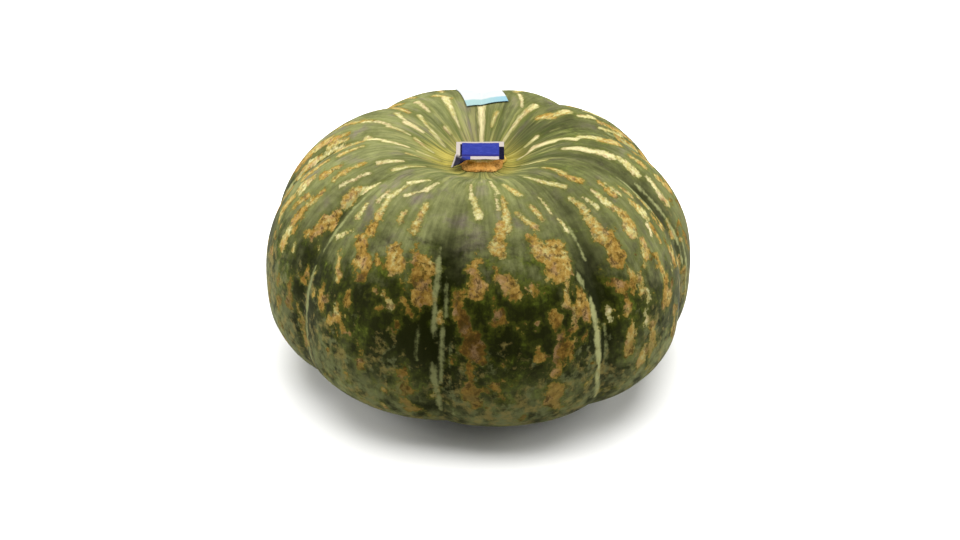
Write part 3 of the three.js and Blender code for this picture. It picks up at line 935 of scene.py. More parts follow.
# %% [markdown]
# ## Rind: where the marks are
# The painted stroke field is soft. Finer noise shifts it before it is cut, so each mark gets its own
# ragged outline. The shift grows with the way down and with the tone: pale streaks by the stem stay
# slender and smooth, and brown clusters break up into islands with gaps in them. Clusters are drawn a
# little larger on the shoulder and smaller low down. Around a mark the green is a little yellower, as if
# the mark were still spreading.

# %% Mark masks
ISLAND_SIZE = 6.5 * MM
RAGGED_SIZE = 2.0 * MM
# The stroke field is in millimetres, and so are the shifts, growths and widths below.
SHIFT_GROWS = (35 * MM, 90 * MM)
STREAK_SHIFT = (1.2, 5.0)
CLUSTER_SHIFT = 15.0
RAGGED_SHIFT = (1.4, 5.0)
CLUSTERS_FROM = (0.3, 0.62)
CLUSTERS_LARGER = (0.4, -1.1)
LARGER_ENDS = (82 * MM, 108 * MM)
EDGE_SOFTNESS = 0.3
FRINGE_WIDTH = 2.6
FRINGE_SHARE = 0.3
FRINGE_OLIVE = "#50541A"

mark = add(rind_tree, ATTRIBUTE, attribute_name="mark").outputs["Fac"]
tone = add(rind_tree, ATTRIBUTE, attribute_name="tone").outputs["Fac"]
islands = add(rind_tree, NOISE, spot, named={"Scale": 1 / ISLAND_SIZE, "Detail": 3.0, "Roughness": 0.6})
ragged = add(rind_tree, NOISE, spot, named={"Scale": 1 / RAGGED_SIZE, "Detail": 3.0, "Roughness": 0.65})
clustered = add(rind_tree, RANGE, tone, *CLUSTERS_FROM, 0.0, 1.0, **SOFT)
streak_shift = add(rind_tree, RANGE, down, *SHIFT_GROWS, *STREAK_SHIFT)
shift = add(rind_tree, MIX, clustered, streak_shift, CLUSTER_SHIFT, data_type="FLOAT")
larger = add(rind_tree, RANGE, down, *LARGER_ENDS, *CLUSTERS_LARGER)
widened = add(rind_tree, MATH, clustered, larger, mark, operation="MULTIPLY_ADD")
island = add(rind_tree, MATH, islands, 0.5, operation="SUBTRACT")
depth = add(rind_tree, MATH, island, shift, widened, operation="MULTIPLY_ADD")
rag = add(rind_tree, MATH, ragged, 0.5, operation="SUBTRACT")
rag_shift = add(rind_tree, RANGE, down, *SHIFT_GROWS, *RAGGED_SHIFT)
depth = add(rind_tree, MATH, rag, rag_shift, depth, operation="MULTIPLY_ADD")
marked = add(rind_tree, RANGE, depth, -EDGE_SOFTNESS, EDGE_SOFTNESS, 0.0, 1.0, **SOFT)
fringe = add(rind_tree, RANGE, depth, -FRINGE_WIDTH, 0.0, 0.0, FRINGE_SHARE, **SOFT)
skin_colour = add(rind_tree, MIX, fringe, ground, FRINGE_OLIVE, **COLOURS)
print("masks:", len(rind_tree.nodes), "nodes")

# %% [markdown]
# ## Rind: what colour the marks are
# Tone picks a mark's colour on a ramp from cream over gold to brown. Noise moves it up and down the ramp
# within a mark, so no two spots are quite alike, and a pinkish buff lies over some of them. The lowest
# marks are dusty, most of all near their gaps. Every mark's rim is olive, where the cork thins out, and
# dark corky specks sit in the marks, faint in the palest.

# %% Mark colours
MARK_TONES = {
    0.0: "#AFA57C",
    0.12: "#9E9A6A",
    0.24: "#938A56",
    0.42: "#8A7037",
    0.62: "#6E5422",
    0.85: "#4E3A15",
    1.0: "#3A2A0E",
}
TONE_SHIFTS = (0.2, 0.16)
PINK_BUFF = "#9A7C5C"
PINK_SIZE = 6 * MM
PINK_PATCHES = (0.52, 0.66, 0.0, 0.55)
DUSTY_TAN = "#60562F"
DUSTY_FROM = (122 * MM, 142 * MM)
DUSTY_SHARE = 0.85
DUSTY_RIMS = (0.45, 0.65, 1.0, 0.45)
MARK_RIM = "#4A4A18"
# The rim's colour fades out over this many millimetres inside a mark.
RIM_FADES = (0.0, 1.3, 0.65, 0.0)
SPECK_BROWN = "#33290A"
SPECK_SIZE = 3.0 * MM
SPECKS = (0.5, 0.64, 0.0, 0.85)
SPECKS_BY_TONE = (0.1, 0.5, 0.25, 1.0)

varied = tone
for pattern, swing in zip((mottle, dapple), TONE_SHIFTS):
    tone_shift = add(rind_tree, RANGE, pattern, *SPREAD, -swing, swing)
    varied = add(rind_tree, MATH, varied, tone_shift, operation="ADD")
mark_colour = add(rind_tree, "ShaderNodeValToRGB", varied)
set_stops(mark_colour, MARK_TONES)
pink_noise = add(rind_tree, NOISE, spot, named={"Scale": 1 / PINK_SIZE, "Detail": 3.0, "Roughness": 0.6})
pinkish = add(rind_tree, RANGE, pink_noise, *PINK_PATCHES)
dusty = add(rind_tree, RANGE, flank_raised_way, *DUSTY_FROM, 0.0, DUSTY_SHARE)
dusty_rims = add(rind_tree, RANGE, islands, *DUSTY_RIMS)
dusty = add(rind_tree, MATH, dusty, dusty_rims, operation="MULTIPLY")
rimmed = add(rind_tree, RANGE, depth, *RIM_FADES)
speck_noise = add(rind_tree, NOISE, spot, named={"Scale": 1 / SPECK_SIZE, "Detail": 3.0, "Roughness": 0.7})
speckled = add(rind_tree, RANGE, speck_noise, *SPECKS)
speck_share = add(rind_tree, RANGE, tone, *SPECKS_BY_TONE)
speckled = add(rind_tree, MATH, speckled, speck_share, operation="MULTIPLY")
for covered, coat in (
    (pinkish, PINK_BUFF),
    (dusty, DUSTY_TAN),
    (rimmed, MARK_RIM),
    (speckled, SPECK_BROWN),
):
    mark_colour = add(rind_tree, MIX, covered, mark_colour, coat, **COLOURS)
skin_colour = add(rind_tree, MIX, marked, skin_colour, mark_colour, **COLOURS)
print("marks:", len(rind_tree.nodes), "nodes")

# %% [markdown]
# ## Rind: the stripes
# Thin, pale, broken stripes run down beside the creases. They come from the second stroke field, which
# broad noise narrows until gaps open in it, and which the marks' ragged noise gives its edge.

# %% Stripes
STRIPE_GREEN = "#62663F"
STRIPE_CREAM = "#8B8B5E"
BREAK_SIZE = 8 * MM
# Millimetres by which the noise narrows or widens a stripe, and by which its edge is ragged and soft.
STRIPE_BREAKS = (-0.75, 0.5)
STRIPE_RAGGED = 2.4
STRIPE_SOFTNESS = 0.8
STRIPE_SHARE = 0.85

stripe = add(rind_tree, ATTRIBUTE, attribute_name="stripe").outputs["Fac"]
breaks = add(rind_tree, NOISE, spot, named={"Scale": 1 / BREAK_SIZE, "Detail": 1.0, "Roughness": 0.5})
broken = add(rind_tree, RANGE, breaks, *SPREAD, *STRIPE_BREAKS)
stripe_depth = add(rind_tree, MATH, stripe, broken, operation="ADD")
stripe_depth = add(rind_tree, MATH, rag, STRIPE_RAGGED, stripe_depth, operation="MULTIPLY_ADD")
stripe_edge = (-STRIPE_SOFTNESS, STRIPE_SOFTNESS)
striped = add(rind_tree, RANGE, stripe_depth, *stripe_edge, 0.0, STRIPE_SHARE, **SOFT)
stripe_tone = add(rind_tree, ATTRIBUTE, attribute_name="stripe_tone").outputs["Fac"]
stripe_colour = add(rind_tree, MIX, stripe_tone, STRIPE_GREEN, STRIPE_CREAM, **COLOURS)
skin_colour = add(rind_tree, MIX, striped, skin_colour, stripe_colour, **COLOURS)
print("with stripes:", len(rind_tree.nodes), "nodes")

# %% [markdown]
# ## Rind: the blotches
# Below the widest level, dull grey-green and tan blotches lie between the marks. They are fine noise, cut
# at a level that it reaches more easily further down, and in some broad areas more than in others.

# %% Blotches
BLOTCH_GREEN = "#575A3A"
BLOTCH_TAN = "#6C6136"
BLOTCH_SIZE = 3.3 * MM
BLOTCH_FIELD = 17 * MM
BLOTCHES = (92 * MM, 134 * MM)
# How much the way down and the broad field of noise bring the blotches up to the cut, and the cut itself.
BLOTCH_LEVELS = (-0.3, 0.0)
BLOTCH_CROWDING = 0.6
BLOTCH_CUT = (0.78, 0.94, 0.0, 0.7)
TAN_BLOTCHES = (0.44, 0.54)

field = add(rind_tree, NOISE, spot, named={"Scale": 1 / BLOTCH_FIELD, "Detail": 2.0})
blots = add(rind_tree, NOISE, spot, named={"Scale": 1 / BLOTCH_SIZE, "Detail": 4.0, "Roughness": 0.65})
level_down = add(rind_tree, RANGE, flank_raised_way, *BLOTCHES, *BLOTCH_LEVELS)
crowded = add(rind_tree, MATH, field, BLOTCH_CROWDING, level_down, operation="MULTIPLY_ADD")
blotch = add(rind_tree, MATH, blots, crowded, operation="ADD")
blotched = add(rind_tree, RANGE, blotch, *BLOTCH_CUT)
unmarked = add(rind_tree, MATH, 1.0, marked, operation="SUBTRACT")
blotched = add(rind_tree, MATH, blotched, unmarked, operation="MULTIPLY")
tan_share = add(rind_tree, RANGE, pink_noise, *TAN_BLOTCHES)
blotch_colour = add(rind_tree, MIX, tan_share, BLOTCH_GREEN, BLOTCH_TAN, **COLOURS)
skin_colour = add(rind_tree, MIX, blotched, skin_colour, blotch_colour, **COLOURS)
print("colours:", len(rind_tree.nodes), "nodes")

# %% [markdown]
# ## Rind: shine and grain
# The wax gives the rind hardly any shine, because the bloom scatters the light. The marks are corky and a
# little rougher, and stand up a hair above the skin, so light catches their edges. Pebbles and a fine
# grain keep the highlight from being glassy.
#
# The same short function ends every material of the lesson: relief if it has any, one plain shader, the
# output.

# %% Rind surface
ROUGH_WAX = 0.5
ROUGH_MARK = 0.62
ROUGHER_BLOOM = 0.2
ROUGHER_GRAIN = 0.12
WAX_SHINE = 0.015
GRAIN_SIZE = 0.9 * MM
PEBBLE_GRAIN = 2.6 * MM
MARK_RISE = 0.12 * MM
PEBBLE_RISE = 0.12 * MM
GRAIN_RISE = 0.05 * MM


def dress(tree, colour, rough, shine=0.5, relief=None, strength=1.0, distance=1.0):
    """Ends a material with a plain shader, and a bump if it has relief."""
    wanted = {"Base Color": colour, "Roughness": rough, "Specular IOR Level": shine}
    if relief is not None:
        bump = {"Strength": strength, "Distance": distance, "Height": relief}
        wanted["Normal"] = add(tree, "ShaderNodeBump", named=bump)
    shader = add(tree, "ShaderNodeBsdfPrincipled", named=wanted)
    add(tree, "ShaderNodeOutputMaterial", shader)


grain = add(rind_tree, NOISE, spot, named={"Scale": 1 / GRAIN_SIZE, "Detail": 3.0})
pebbles = add(rind_tree, NOISE, spot, named={"Scale": 1 / PEBBLE_GRAIN, "Detail": 1.5})
rough = add(rind_tree, MIX, marked, ROUGH_WAX, ROUGH_MARK, data_type="FLOAT")
rough = add(rind_tree, MATH, bloom_and_sheen, ROUGHER_BLOOM, rough, operation="MULTIPLY_ADD")
rough = add(rind_tree, MATH, grain, ROUGHER_GRAIN, rough, operation="MULTIPLY_ADD")
relief = add(rind_tree, MATH, marked, MARK_RISE, operation="MULTIPLY")
relief = add(rind_tree, MATH, pebbles, PEBBLE_RISE, relief, operation="MULTIPLY_ADD")
relief = add(rind_tree, MATH, grain, GRAIN_RISE, relief, operation="MULTIPLY_ADD")
dress(rind_tree, skin_colour, rough, WAX_SHINE, relief)
print("rind:", len(rind_tree.nodes), "nodes")

# %% [markdown]
# ## The stem
# What is left of the stem is a cut stump, 5 mm high: a ring of corky ridges on a spread foot, with a dry,
# sunken cut face. It is turned like a pot on a lathe, ring by ring in numpy, because each ring is pushed
# in and out by its own ridges. First comes its side view, as the radius and height of each ring.

# %% Stem's side
# All of the stem's lengths are in millimetres until its rings are made.
STEM_HEIGHT = 4.8
FOOT = 11.2
WAIST = 8.0
CUT = 8.1
# The side view from the middle of the foot to the rim of the cut face, as radius and height.
STUMP_SIDE = (
    (0.0, 0.0),
    (FOOT - 3.0, 0.0),
    (FOOT - 0.4, 0.02),
    (FOOT - 0.15, 0.3),
    (FOOT - 0.7, 1.0),
    (WAIST + 0.8, 1.7),
    (WAIST + 0.15, 2.5),
    (WAIST - 0.05, 3.4),
    (CUT - 0.1, 4.1),
    (CUT - 0.3, 4.5),
    (CUT - 0.75, STEM_HEIGHT),
)
RINGS_PER_SPAN = 5
# The first ring lies on the first span, this share of it from the axis.
FIRST_RING = 0.6

span_radius, span_height = np.array(STUMP_SIDE).T
spans = np.arange(len(STUMP_SIDE))
steps_along = np.linspace(FIRST_RING, spans[-1], RINGS_PER_SPAN * spans[-1])
ring_radii = np.interp(steps_along, spans, span_radius)
ring_heights = np.interp(steps_along, spans, span_height)
print("stem's side:", len(ring_radii), "rings")

# %% [markdown]
# ## Ridges and furrows
# Five broad ridges carry on the fruit's growth, with smaller ones between them, and fine furrows run up
# them like the grain of old rope. All of them only take something away from the side view, and they fade
# towards the axis. The ridges fade towards the cut too. A rough bark of noise lies over them.

# %% Stem's ridges
STEM_STEPS = 420
STEM_SEED = 4
STEM_TURNED = math.radians(36)
STEM_RIDGES = 5
SMALL_RIDGES = 11
SMALL_SHARE = 0.35
RIDGE_HEIGHT = 0.7
RIDGES_FADE = 0.6
FURROWS = 46
FURROW_DEPTH = 0.22
FURROW_WANDER = 3
FURROW_SHARPNESS = 0.6
BARK_DEPTH = 0.22
# How wide the circles are that are walked in the noise, and how fast the bark changes with the height.
WANDER_REACH = 3
BARK_REACH = 6
BARK_RISING = 1.3

turns = np.linspace(0, 2 * math.pi, STEM_STEPS, endpoint=False)


def noise_round(reach, height):
    """Noise along a circle of a reach, at a height of the noise."""
    circle = [(reach * math.cos(turn), reach * math.sin(turn), height) for turn in turns]
    return np.array([noise.noise(Vector(place)) for place in circle])


turned = turns + STEM_TURNED
toes = np.cos(STEM_RIDGES * turned) + SMALL_SHARE * np.cos(SMALL_RIDGES * turned + 1)
wander = noise_round(WANDER_REACH, STEM_SEED)
furrow_waves = np.abs(np.sin(FURROWS / 2 * turns + FURROW_WANDER * wander))
furrows = -FURROW_DEPTH * furrow_waves ** FURROW_SHARPNESS
rings = []
for ring_radius, ring_height in zip(ring_radii, ring_heights):
    share = min(ring_radius / FOOT, 1.0)
    fade = 1 - RIDGES_FADE * ring_height / STEM_HEIGHT
    ridges = RIDGE_HEIGHT * (toes - 1 - SMALL_SHARE) * fade
    rough = BARK_DEPTH * noise_round(BARK_REACH, BARK_RISING * ring_height)
    ridged = (ring_radius + (ridges + furrows + rough) * share) * MM
    heights = np.full(STEM_STEPS, ring_height * MM)
    rings.append(np.column_stack([ridged * np.sin(turns), -ridged * np.cos(turns), heights]))
print("furrows up to", round(float(-furrows.min()), 2), "mm deep")

# %% [markdown]
# ## The cut face
# The stalk was cut level, and its pith has dried and sunk since, with a few radial cracks in it. So the
# face is the rim's ring again and again, ever smaller and lower, and the cracks are deepest halfway in.
# One point at each end of the axis closes the mesh, which then stands on its seat in the dimple.

# %% Stem mesh
CUT_SINK = 0.7
CUT_STEP = 0.02
CUT_PIT = 0.1
CUT_RINGS = np.linspace(0.93, 0.06, 16)
CRACKS = 9
CRACK_DEPTH = 1.32
CRACK_WIDTH = 0.09
CRACK_WANDER = 2.2


def lathe_mesh(name, rings, bottom, top):
    """A closed mesh from rings of points, with one more point at each end."""
    steps = len(rings[0])
    places = [bottom, *(tuple(point) for ring in rings for point in ring), top]
    faces = []
    for i in range(steps):
        j = (i + 1) % steps
        faces.append((0, 1 + j, 1 + i))
        last = 1 + (len(rings) - 1) * steps
        faces.append((last + i, last + j, len(places) - 1))
        for k in range(len(rings) - 1):
            low, high = 1 + k * steps, 1 + (k + 1) * steps
            faces.append((low + i, low + j, high + j, high + i))
    made = bpy.data.meshes.new(name)
    made.from_pydata(places, [], faces)
    made.update()
    return made


def add_object(name, mesh, material):
    """A smooth-shaded object in the scene."""
    made = bpy.data.objects.new(name, mesh)
    mesh.materials.append(material)
    mesh.polygons.foreach_set("use_smooth", np.ones(len(mesh.polygons), dtype=bool))
    bpy.context.scene.collection.objects.link(made)
    return made


rim = rings[-1]
crack_waves = np.abs(np.sin(CRACKS / 2 * turns + CRACK_WANDER * wander))
cracked = CRACK_DEPTH * np.exp(-crack_waves / CRACK_WIDTH)
for inner in CUT_RINGS:
    sink = CUT_SINK * (1 - inner) ** 0.5 + cracked * inner * (1 - inner)
    face_height = (STEM_HEIGHT - CUT_STEP - sink) * MM
    rings.append(np.column_stack([rim[:, :2] * inner, face_height]))
middle_height = STEM_HEIGHT - CUT_SINK - CUT_PIT
stem_mesh = lathe_mesh("corky_stem", rings, (0, 0, 0), (0, 0, middle_height * MM))
SEAT_HEIGHT = top_height(SEAT_RADIUS)
stem_mesh.transform(Matrix.Translation((AXIS[0], AXIS[1], SEAT_HEIGHT)))
cork, cork_tree = new_material("weathered cork")
stem = add_object("corky_stem", stem_mesh, cork)
print("stem:", len(stem_mesh.polygons), "faces, seat at", round(SEAT_HEIGHT / MM, 2), "mm")

# %% [markdown]
# ## Cork for the stem
# A dry stem is corky: golden tan where it is rubbed, dark brown deep in the furrows as painted shade, which
# the mesh's own pointiness tells, and paler on the cut face. Towards the label the cork is painted lighter,
# a painted light that lifts the shade the label casts on the stem's side, up to a cream rim that is painted
# brighter still. At both sides the foot is olive, where it joins the rind. Long thin noise along the height
# gives the fibres.
#
# Again each of these is a coat over the last one.

# %% Cork material
CORK_TAN = "#AE7A32"
CORK_LIGHT = "#C89A55"
CORK_DARK_AND_SHADE = "#6E4618"
CORK_CUT = "#C8B082"
CORK_PAINTED_LIGHT = "#E2A34C"
RIM_CREAM_AND_LIGHT = "#FFF0CC"
FOOT_OLIVE = "#A3903A"
FIBRE_SIZE = 1.1 * MM
FIBRE_STRETCH = (1.0, 1.0, 0.16)
FIBRES_DARK = (0.3, 0.56, 0.85, 0.0)
FIBRE_RISE = 0.25 * MM
BARK_SIZE = 3.4 * MM
BARK_WORN = (0.35, 0.68)
BARK_RISE = 0.3 * MM
FURROW_SHADE = (0.42, 0.5, 0.9, 0.0)
FACES_UP = (0.55, 0.85)
# Ranges of the height above the seat, each with the shares of its coat at both ends.
ON_CUT = (3.2 * MM, 3.8 * MM, 0.0, 0.7)
# Painted light: the next two lighten the stem's side towards the label, lifting its shade, and paint a
# brighter cream rim.
PAINTED_LIGHT_RISE = (0.6 * MM, 3.0 * MM, 0.0, 0.75)
AT_RIM = (3.0 * MM, 4.4 * MM, 0.0, 0.9)
# The same, but of the distance to the left or right of the axis.
AT_SIDES = (8.4 * MM, 9.6 * MM, 0.0, 0.8)
DULL_CORK = 0.85
CORK_SHINE = 0.25

place = add(cork_tree, "ShaderNodeTexCoord").outputs["Object"]
shape = add(cork_tree, "ShaderNodeNewGeometry")
from_axis = add(cork_tree, VECTOR, place, (AXIS[0], AXIS[1], SEAT_HEIGHT), operation="SUBTRACT")
parts = add(cork_tree, "ShaderNodeSeparateXYZ", from_axis)
height = parts.outputs["Z"]
sideways = add(cork_tree, MATH, parts.outputs["X"], operation="ABSOLUTE")
stretched = add(cork_tree, VECTOR, place, FIBRE_STRETCH, operation="MULTIPLY")
fibres = add(cork_tree, NOISE, stretched, named={"Scale": 1 / FIBRE_SIZE, "Detail": 4.0, "Roughness": 0.6})
bark = add(cork_tree, NOISE, place, named={"Scale": 1 / BARK_SIZE, "Detail": 4.0, "Roughness": 0.65})
worn = add(cork_tree, RANGE, bark, *BARK_WORN)
fibrous = add(cork_tree, RANGE, fibres, *FIBRES_DARK)
# Painted shade: the furrows, where the mesh's pointiness is low, are painted dark brown.
deep = add(cork_tree, RANGE, shape.outputs["Pointiness"], *FURROW_SHADE)
facing = add(cork_tree, "ShaderNodeSeparateXYZ", shape.outputs["Normal"]).outputs["Z"]
upward = add(cork_tree, RANGE, facing, *FACES_UP)
on_cut = add(cork_tree, RANGE, height, *ON_CUT)
on_cut = add(cork_tree, MATH, upward, on_cut, operation="MULTIPLY")
# Painted light on the stem's upper side, and a brighter painted cream rim under the label.
painted_light = add(cork_tree, RANGE, height, *PAINTED_LIGHT_RISE)
edged = add(cork_tree, RANGE, height, *AT_RIM)
on_foot = add(cork_tree, RANGE, sideways, *AT_SIDES)
colour = CORK_TAN
for covered, coat in (
    (worn, CORK_LIGHT),
    (fibrous, CORK_DARK_AND_SHADE),
    (deep, CORK_DARK_AND_SHADE),
    (on_cut, CORK_CUT),
    (painted_light, CORK_PAINTED_LIGHT),
    (edged, RIM_CREAM_AND_LIGHT),
    (on_foot, FOOT_OLIVE),
):
    colour = add(cork_tree, MIX, covered, colour, coat, **COLOURS)
relief = add(cork_tree, MATH, fibres, FIBRE_RISE, operation="MULTIPLY")
relief = add(cork_tree, MATH, bark, BARK_RISE, relief, operation="MULTIPLY_ADD")
dress(cork_tree, colour, DULL_CORK, CORK_SHINE, relief)
print("cork:", len(cork_tree.nodes), "nodes")

# %% [markdown]
# ## The sticker on the stem
# A small film label is stuck on the cut face. It lies flat on the stump, and its front left corner is
# torn into a tongue that droops beyond the rim towards the rind. The sheet is a grid of points with a
# distance across and along it. One function puts a point where it belongs: flat, or, past the fold, on
# the tongue, which is drawn out along the diagonal and bent down. Shallow wrinkles of low noise keep the
# film from looking like glass.

# %% Stem sticker mesh
# Lengths are in millimetres, and the wrinkles' waves are counted per millimetre.
STEM_LABEL = (19.6, 15.4)
LABEL_OFFSET = -0.6
FOLD_AT = 9.1
FOLD_OVER = 1.6
FOLD_ANGLE = math.radians(22)
TONGUE_STRETCH = 1.9
FILM = 0.16
WRINKLE = 0.16
WRINKLE_WAVES = (0.22, 0.3)
LABEL_STEPS = (84, 66)


def on_stem(across, along, above):
    """A point of the label in millimetres, from the middle of the cut face."""
    x, y = LABEL_OFFSET + across, along
    past = max(-(x + y) / math.sqrt(2) - FOLD_AT, 0)
    ease = min(past / FOLD_OVER, 1)
    bend = FOLD_ANGLE * ease * ease * (3 - 2 * ease)
    drawn_out = past * TONGUE_STRETCH
    out = drawn_out * math.cos(bend) - past + above * math.sin(bend)
    waves = noise.noise(Vector((WRINKLE_WAVES[0] * across, WRINKLE_WAVES[1] * along, 7.0)))
    up = above * math.cos(bend) - drawn_out * math.sin(bend) + max(WRINKLE * (waves + 0.5), 0)
    return (x - out / math.sqrt(2), y - out / math.sqrt(2), up)


def sheet_mesh(name, size, steps, thickness, place):
    """A thin closed sheet. Its corners remember, as UV, how far across and along they lie."""
    columns, rows = steps[0] + 1, steps[1] + 1
    points, spots = [], []
    for above in (0.0, thickness):
        for row in range(rows):
            for column in range(columns):
                u, v = column / steps[0], row / steps[1]
                spots.append((u, v))
                points.append([MM * c for c in place((u - 0.5) * size[0], (v - 0.5) * size[1], above)])
    layer = columns * rows
    faces = []
    for row in range(steps[1]):
        for column in range(steps[0]):
            a = row * columns + column
            faces.append((a, a + columns, a + columns + 1, a + 1))
            faces.append((layer + a, layer + a + 1, layer + a + columns + 1, layer + a + columns))
    around = [*range(columns), *(columns * (r + 2) - 1 for r in range(rows - 1))]
    around += [columns * rows - 2 - c for c in range(columns - 1)]
    around += [columns * (rows - 2 - r) for r in range(rows - 2)]
    for a, b in zip(around, around[1:] + around[:1]):
        faces.append((a, b, layer + b, layer + a))
    made = bpy.data.meshes.new(name)
    made.from_pydata(points, [], faces)
    uv = made.uv_layers.new(name="sheet")
    for loop in made.loops:
        uv.data[loop.index].uv = spots[loop.vertex_index]
    made.update()
    return made


label_mesh = sheet_mesh("stem_label", STEM_LABEL, LABEL_STEPS, FILM, on_stem)
label_mesh.transform(Matrix.Translation((AXIS[0], AXIS[1], SEAT_HEIGHT + STEM_HEIGHT * MM)))
film, film_tree = new_material("printed plastic film")
label = add_object("stem_label", label_mesh, film)
print("label:", len(label_mesh.polygons), "faces")

# %% [markdown]
# ## Film for the label
# The label carries no words. It is a plain blue field with a thin near-black bar at its left and a wide
# one at its right, which stops short of the back. A navy line edges the field in front. Before it lies a
# bare white strip with a blue corner, and the torn tongue is dark.
#
# Every edge is a step in the sheet's own UV map. A little noise shifts the steps, as cheap printing does,
# and lightens the ink where the film is rubbed.

# %% Film material
FILM_WHITE = "#8E8680"
INK_BLUE = "#1F2768"
INK_RUBBED = "#3A418A"
INK_NAVY = "#1A1850"
INK_BLACK = "#07061A"
# Left, right, front and back edges, as shares of the sheet.
BLUE_FIELD = (0.125, 0.895, 0.27, 0.93)
BLUE_CORNER = (0.125, 0.3, -0.1, 0.17)
NAVY_LINE = (0.125, 0.895, 0.17, 0.93)
LEFT_BAR = (0.085, 0.13, 0.17, 0.86)
RIGHT_BAR = (0.89, 1.1, -0.1, 0.72)
INK_SOFTNESS = 0.006
# The waver's waves across the sheet, about one in a millimetre, and its shares of the sheet.
WAVER_WAVES = 22.0
WAVER = (0.016, 0.02, 0.0)
RUB_WAVES = 7.0
RUB = (0.48, 0.74, 0.0, 0.4)
CREASE_WAVES = 9.0
CREASE_STRENGTH = 0.6
CREASE_RISE = 0.4 * MM
FILM_ROUGH = 0.42
FILM_SHINE = 0.03
# The tongue's ink ends so many millimetres from the front left corner, across and along added up.
TONGUE_DARK = (4.0, 5.4, 0.97, 0.0)
TONGUE_EDGE = (0.015, 0.035)


def within(tree, u, v, edges):
    """One inside the rectangle left, right, front, back on the sheet, and zero outside."""
    left, right, front, back = edges
    share = 1.0
    for value, low, high in ((u, left, right), (v, front, back)):
        for edge, soft in ((low, INK_SOFTNESS), (high, -INK_SOFTNESS)):
            step = add(tree, RANGE, value, edge - soft, edge + soft)
            share = add(tree, MATH, step, share, operation="MULTIPLY")
    return share


sheet_spot = add(film_tree, "ShaderNodeUVMap", uv_map="sheet")
waver = add(film_tree, NOISE, sheet_spot, named={"Scale": WAVER_WAVES, "Detail": 2.0})
waver = add(film_tree, VECTOR, waver.outputs["Color"], (0.5, 0.5, 0.5), operation="SUBTRACT")
waver = add(film_tree, VECTOR, waver, WAVER, operation="MULTIPLY")
printed_spot = add(film_tree, VECTOR, sheet_spot, waver, operation="ADD")
parts = add(film_tree, "ShaderNodeSeparateXYZ", printed_spot)
u, v = parts.outputs["X"], parts.outputs["Y"]
rub = add(film_tree, NOISE, sheet_spot, named={"Scale": RUB_WAVES, "Detail": 4.0, "Roughness": 0.7})
rubbed = add(film_tree, RANGE, rub, *RUB)
blue = add(film_tree, MIX, rubbed, INK_BLUE, INK_RUBBED, **COLOURS)
colour = FILM_WHITE
for edges, ink in (
    (LEFT_BAR, INK_BLACK),
    (RIGHT_BAR, INK_BLACK),
    (NAVY_LINE, INK_NAVY),
    (BLUE_FIELD, blue),
    (BLUE_CORNER, INK_BLUE),
):
    colour = add(film_tree, MIX, within(film_tree, u, v, edges), colour, ink, **COLOURS)
from_corner = add(film_tree, MATH, u, STEM_LABEL[0], operation="MULTIPLY")
from_corner = add(film_tree, MATH, v, STEM_LABEL[1], from_corner, operation="MULTIPLY_ADD")
on_tongue = add(film_tree, RANGE, from_corner, *TONGUE_DARK)
inside_edge = add(film_tree, RANGE, u, *TONGUE_EDGE)
on_tongue = add(film_tree, MATH, on_tongue, inside_edge, operation="MULTIPLY")
colour = add(film_tree, MIX, on_tongue, colour, INK_BLACK, **COLOURS)
crease = add(film_tree, NOISE, sheet_spot, named={"Scale": CREASE_WAVES, "Detail": 3.0})
dress(film_tree, colour, FILM_ROUGH, FILM_SHINE, crease, CREASE_STRENGTH, CREASE_RISE)
print("film:", len(film_tree.nodes), "nodes")

# %% [markdown]
# ## The sticker on the far shoulder
# A second sticker sits where the back of the fruit falls away, so only its near edge shows from the
# front. It has to follow the ribs exactly. So its tree starts from a flat box of many small faces, reads
# each point's distance across and outwards as an azimuth and a share of the outline, and asks the skin
# group, with a lift, where that is. The skin's fine relief is switched off for it, because a sticker
# bridges pebbles.

# %% Far sticker
FAR_WIDTH = 18 * MM
FAR_LENGTH = 22 * MM
FAR_OUT = 37 * MM
FAR_AZIMUTH = 180
FAR_TURNED = math.radians(14)
FAR_LIFT = 0.3 * MM
FAR_THICKNESS = 0.2 * MM
FAR_STEPS = (72, 88)

far_tree, given = new_tree(
    "far_sticker",
    [
        ("Outline", "Object", None),
        ("Groove Marks", "Object", None),
        ("Width", "Float", FAR_WIDTH),
        ("Length", "Float", FAR_LENGTH),
        ("Out", "Float", FAR_OUT),
        ("Lift", "Float", FAR_LIFT),
        ("Material", "Material", None),
    ],
    [("Sticker", "Geometry")],
)
box = add(far_tree, "GeometryNodeMeshCube", (1.0, 1.0, 1.0), FAR_STEPS[0] + 1, FAR_STEPS[1] + 1, 2)
unit = add(far_tree, "ShaderNodeSeparateXYZ", add(far_tree, "GeometryNodeInputPosition"))
across = add(far_tree, MATH, unit.outputs["X"], given.outputs["Width"], operation="MULTIPLY")
along = add(far_tree, MATH, unit.outputs["Y"], given.outputs["Length"], operation="MULTIPLY")
straight = add(far_tree, MATH, across, math.cos(FAR_TURNED), operation="MULTIPLY")
slanted = add(far_tree, MATH, along, -math.sin(FAR_TURNED), straight, operation="MULTIPLY_ADD")
middle = add(far_tree, MATH, given.outputs["Length"], 0.5, given.outputs["Out"], operation="MULTIPLY_ADD")
outward = add(far_tree, MATH, across, math.sin(FAR_TURNED), middle, operation="MULTIPLY_ADD")
outward = add(far_tree, MATH, along, math.cos(FAR_TURNED), outward, operation="MULTIPLY_ADD")
share = add(far_tree, MATH, outward, outline_length, operation="DIVIDE")
sample = sample_outline(far_tree, given, share)
circle = add(far_tree, "ShaderNodeSeparateXYZ", sample.outputs["Position"]).outputs["X"]
around = add(far_tree, MATH, slanted, circle, operation="DIVIDE")
azimuth = add(far_tree, MATH, math.radians(FAR_AZIMUTH), around, operation="SUBTRACT")
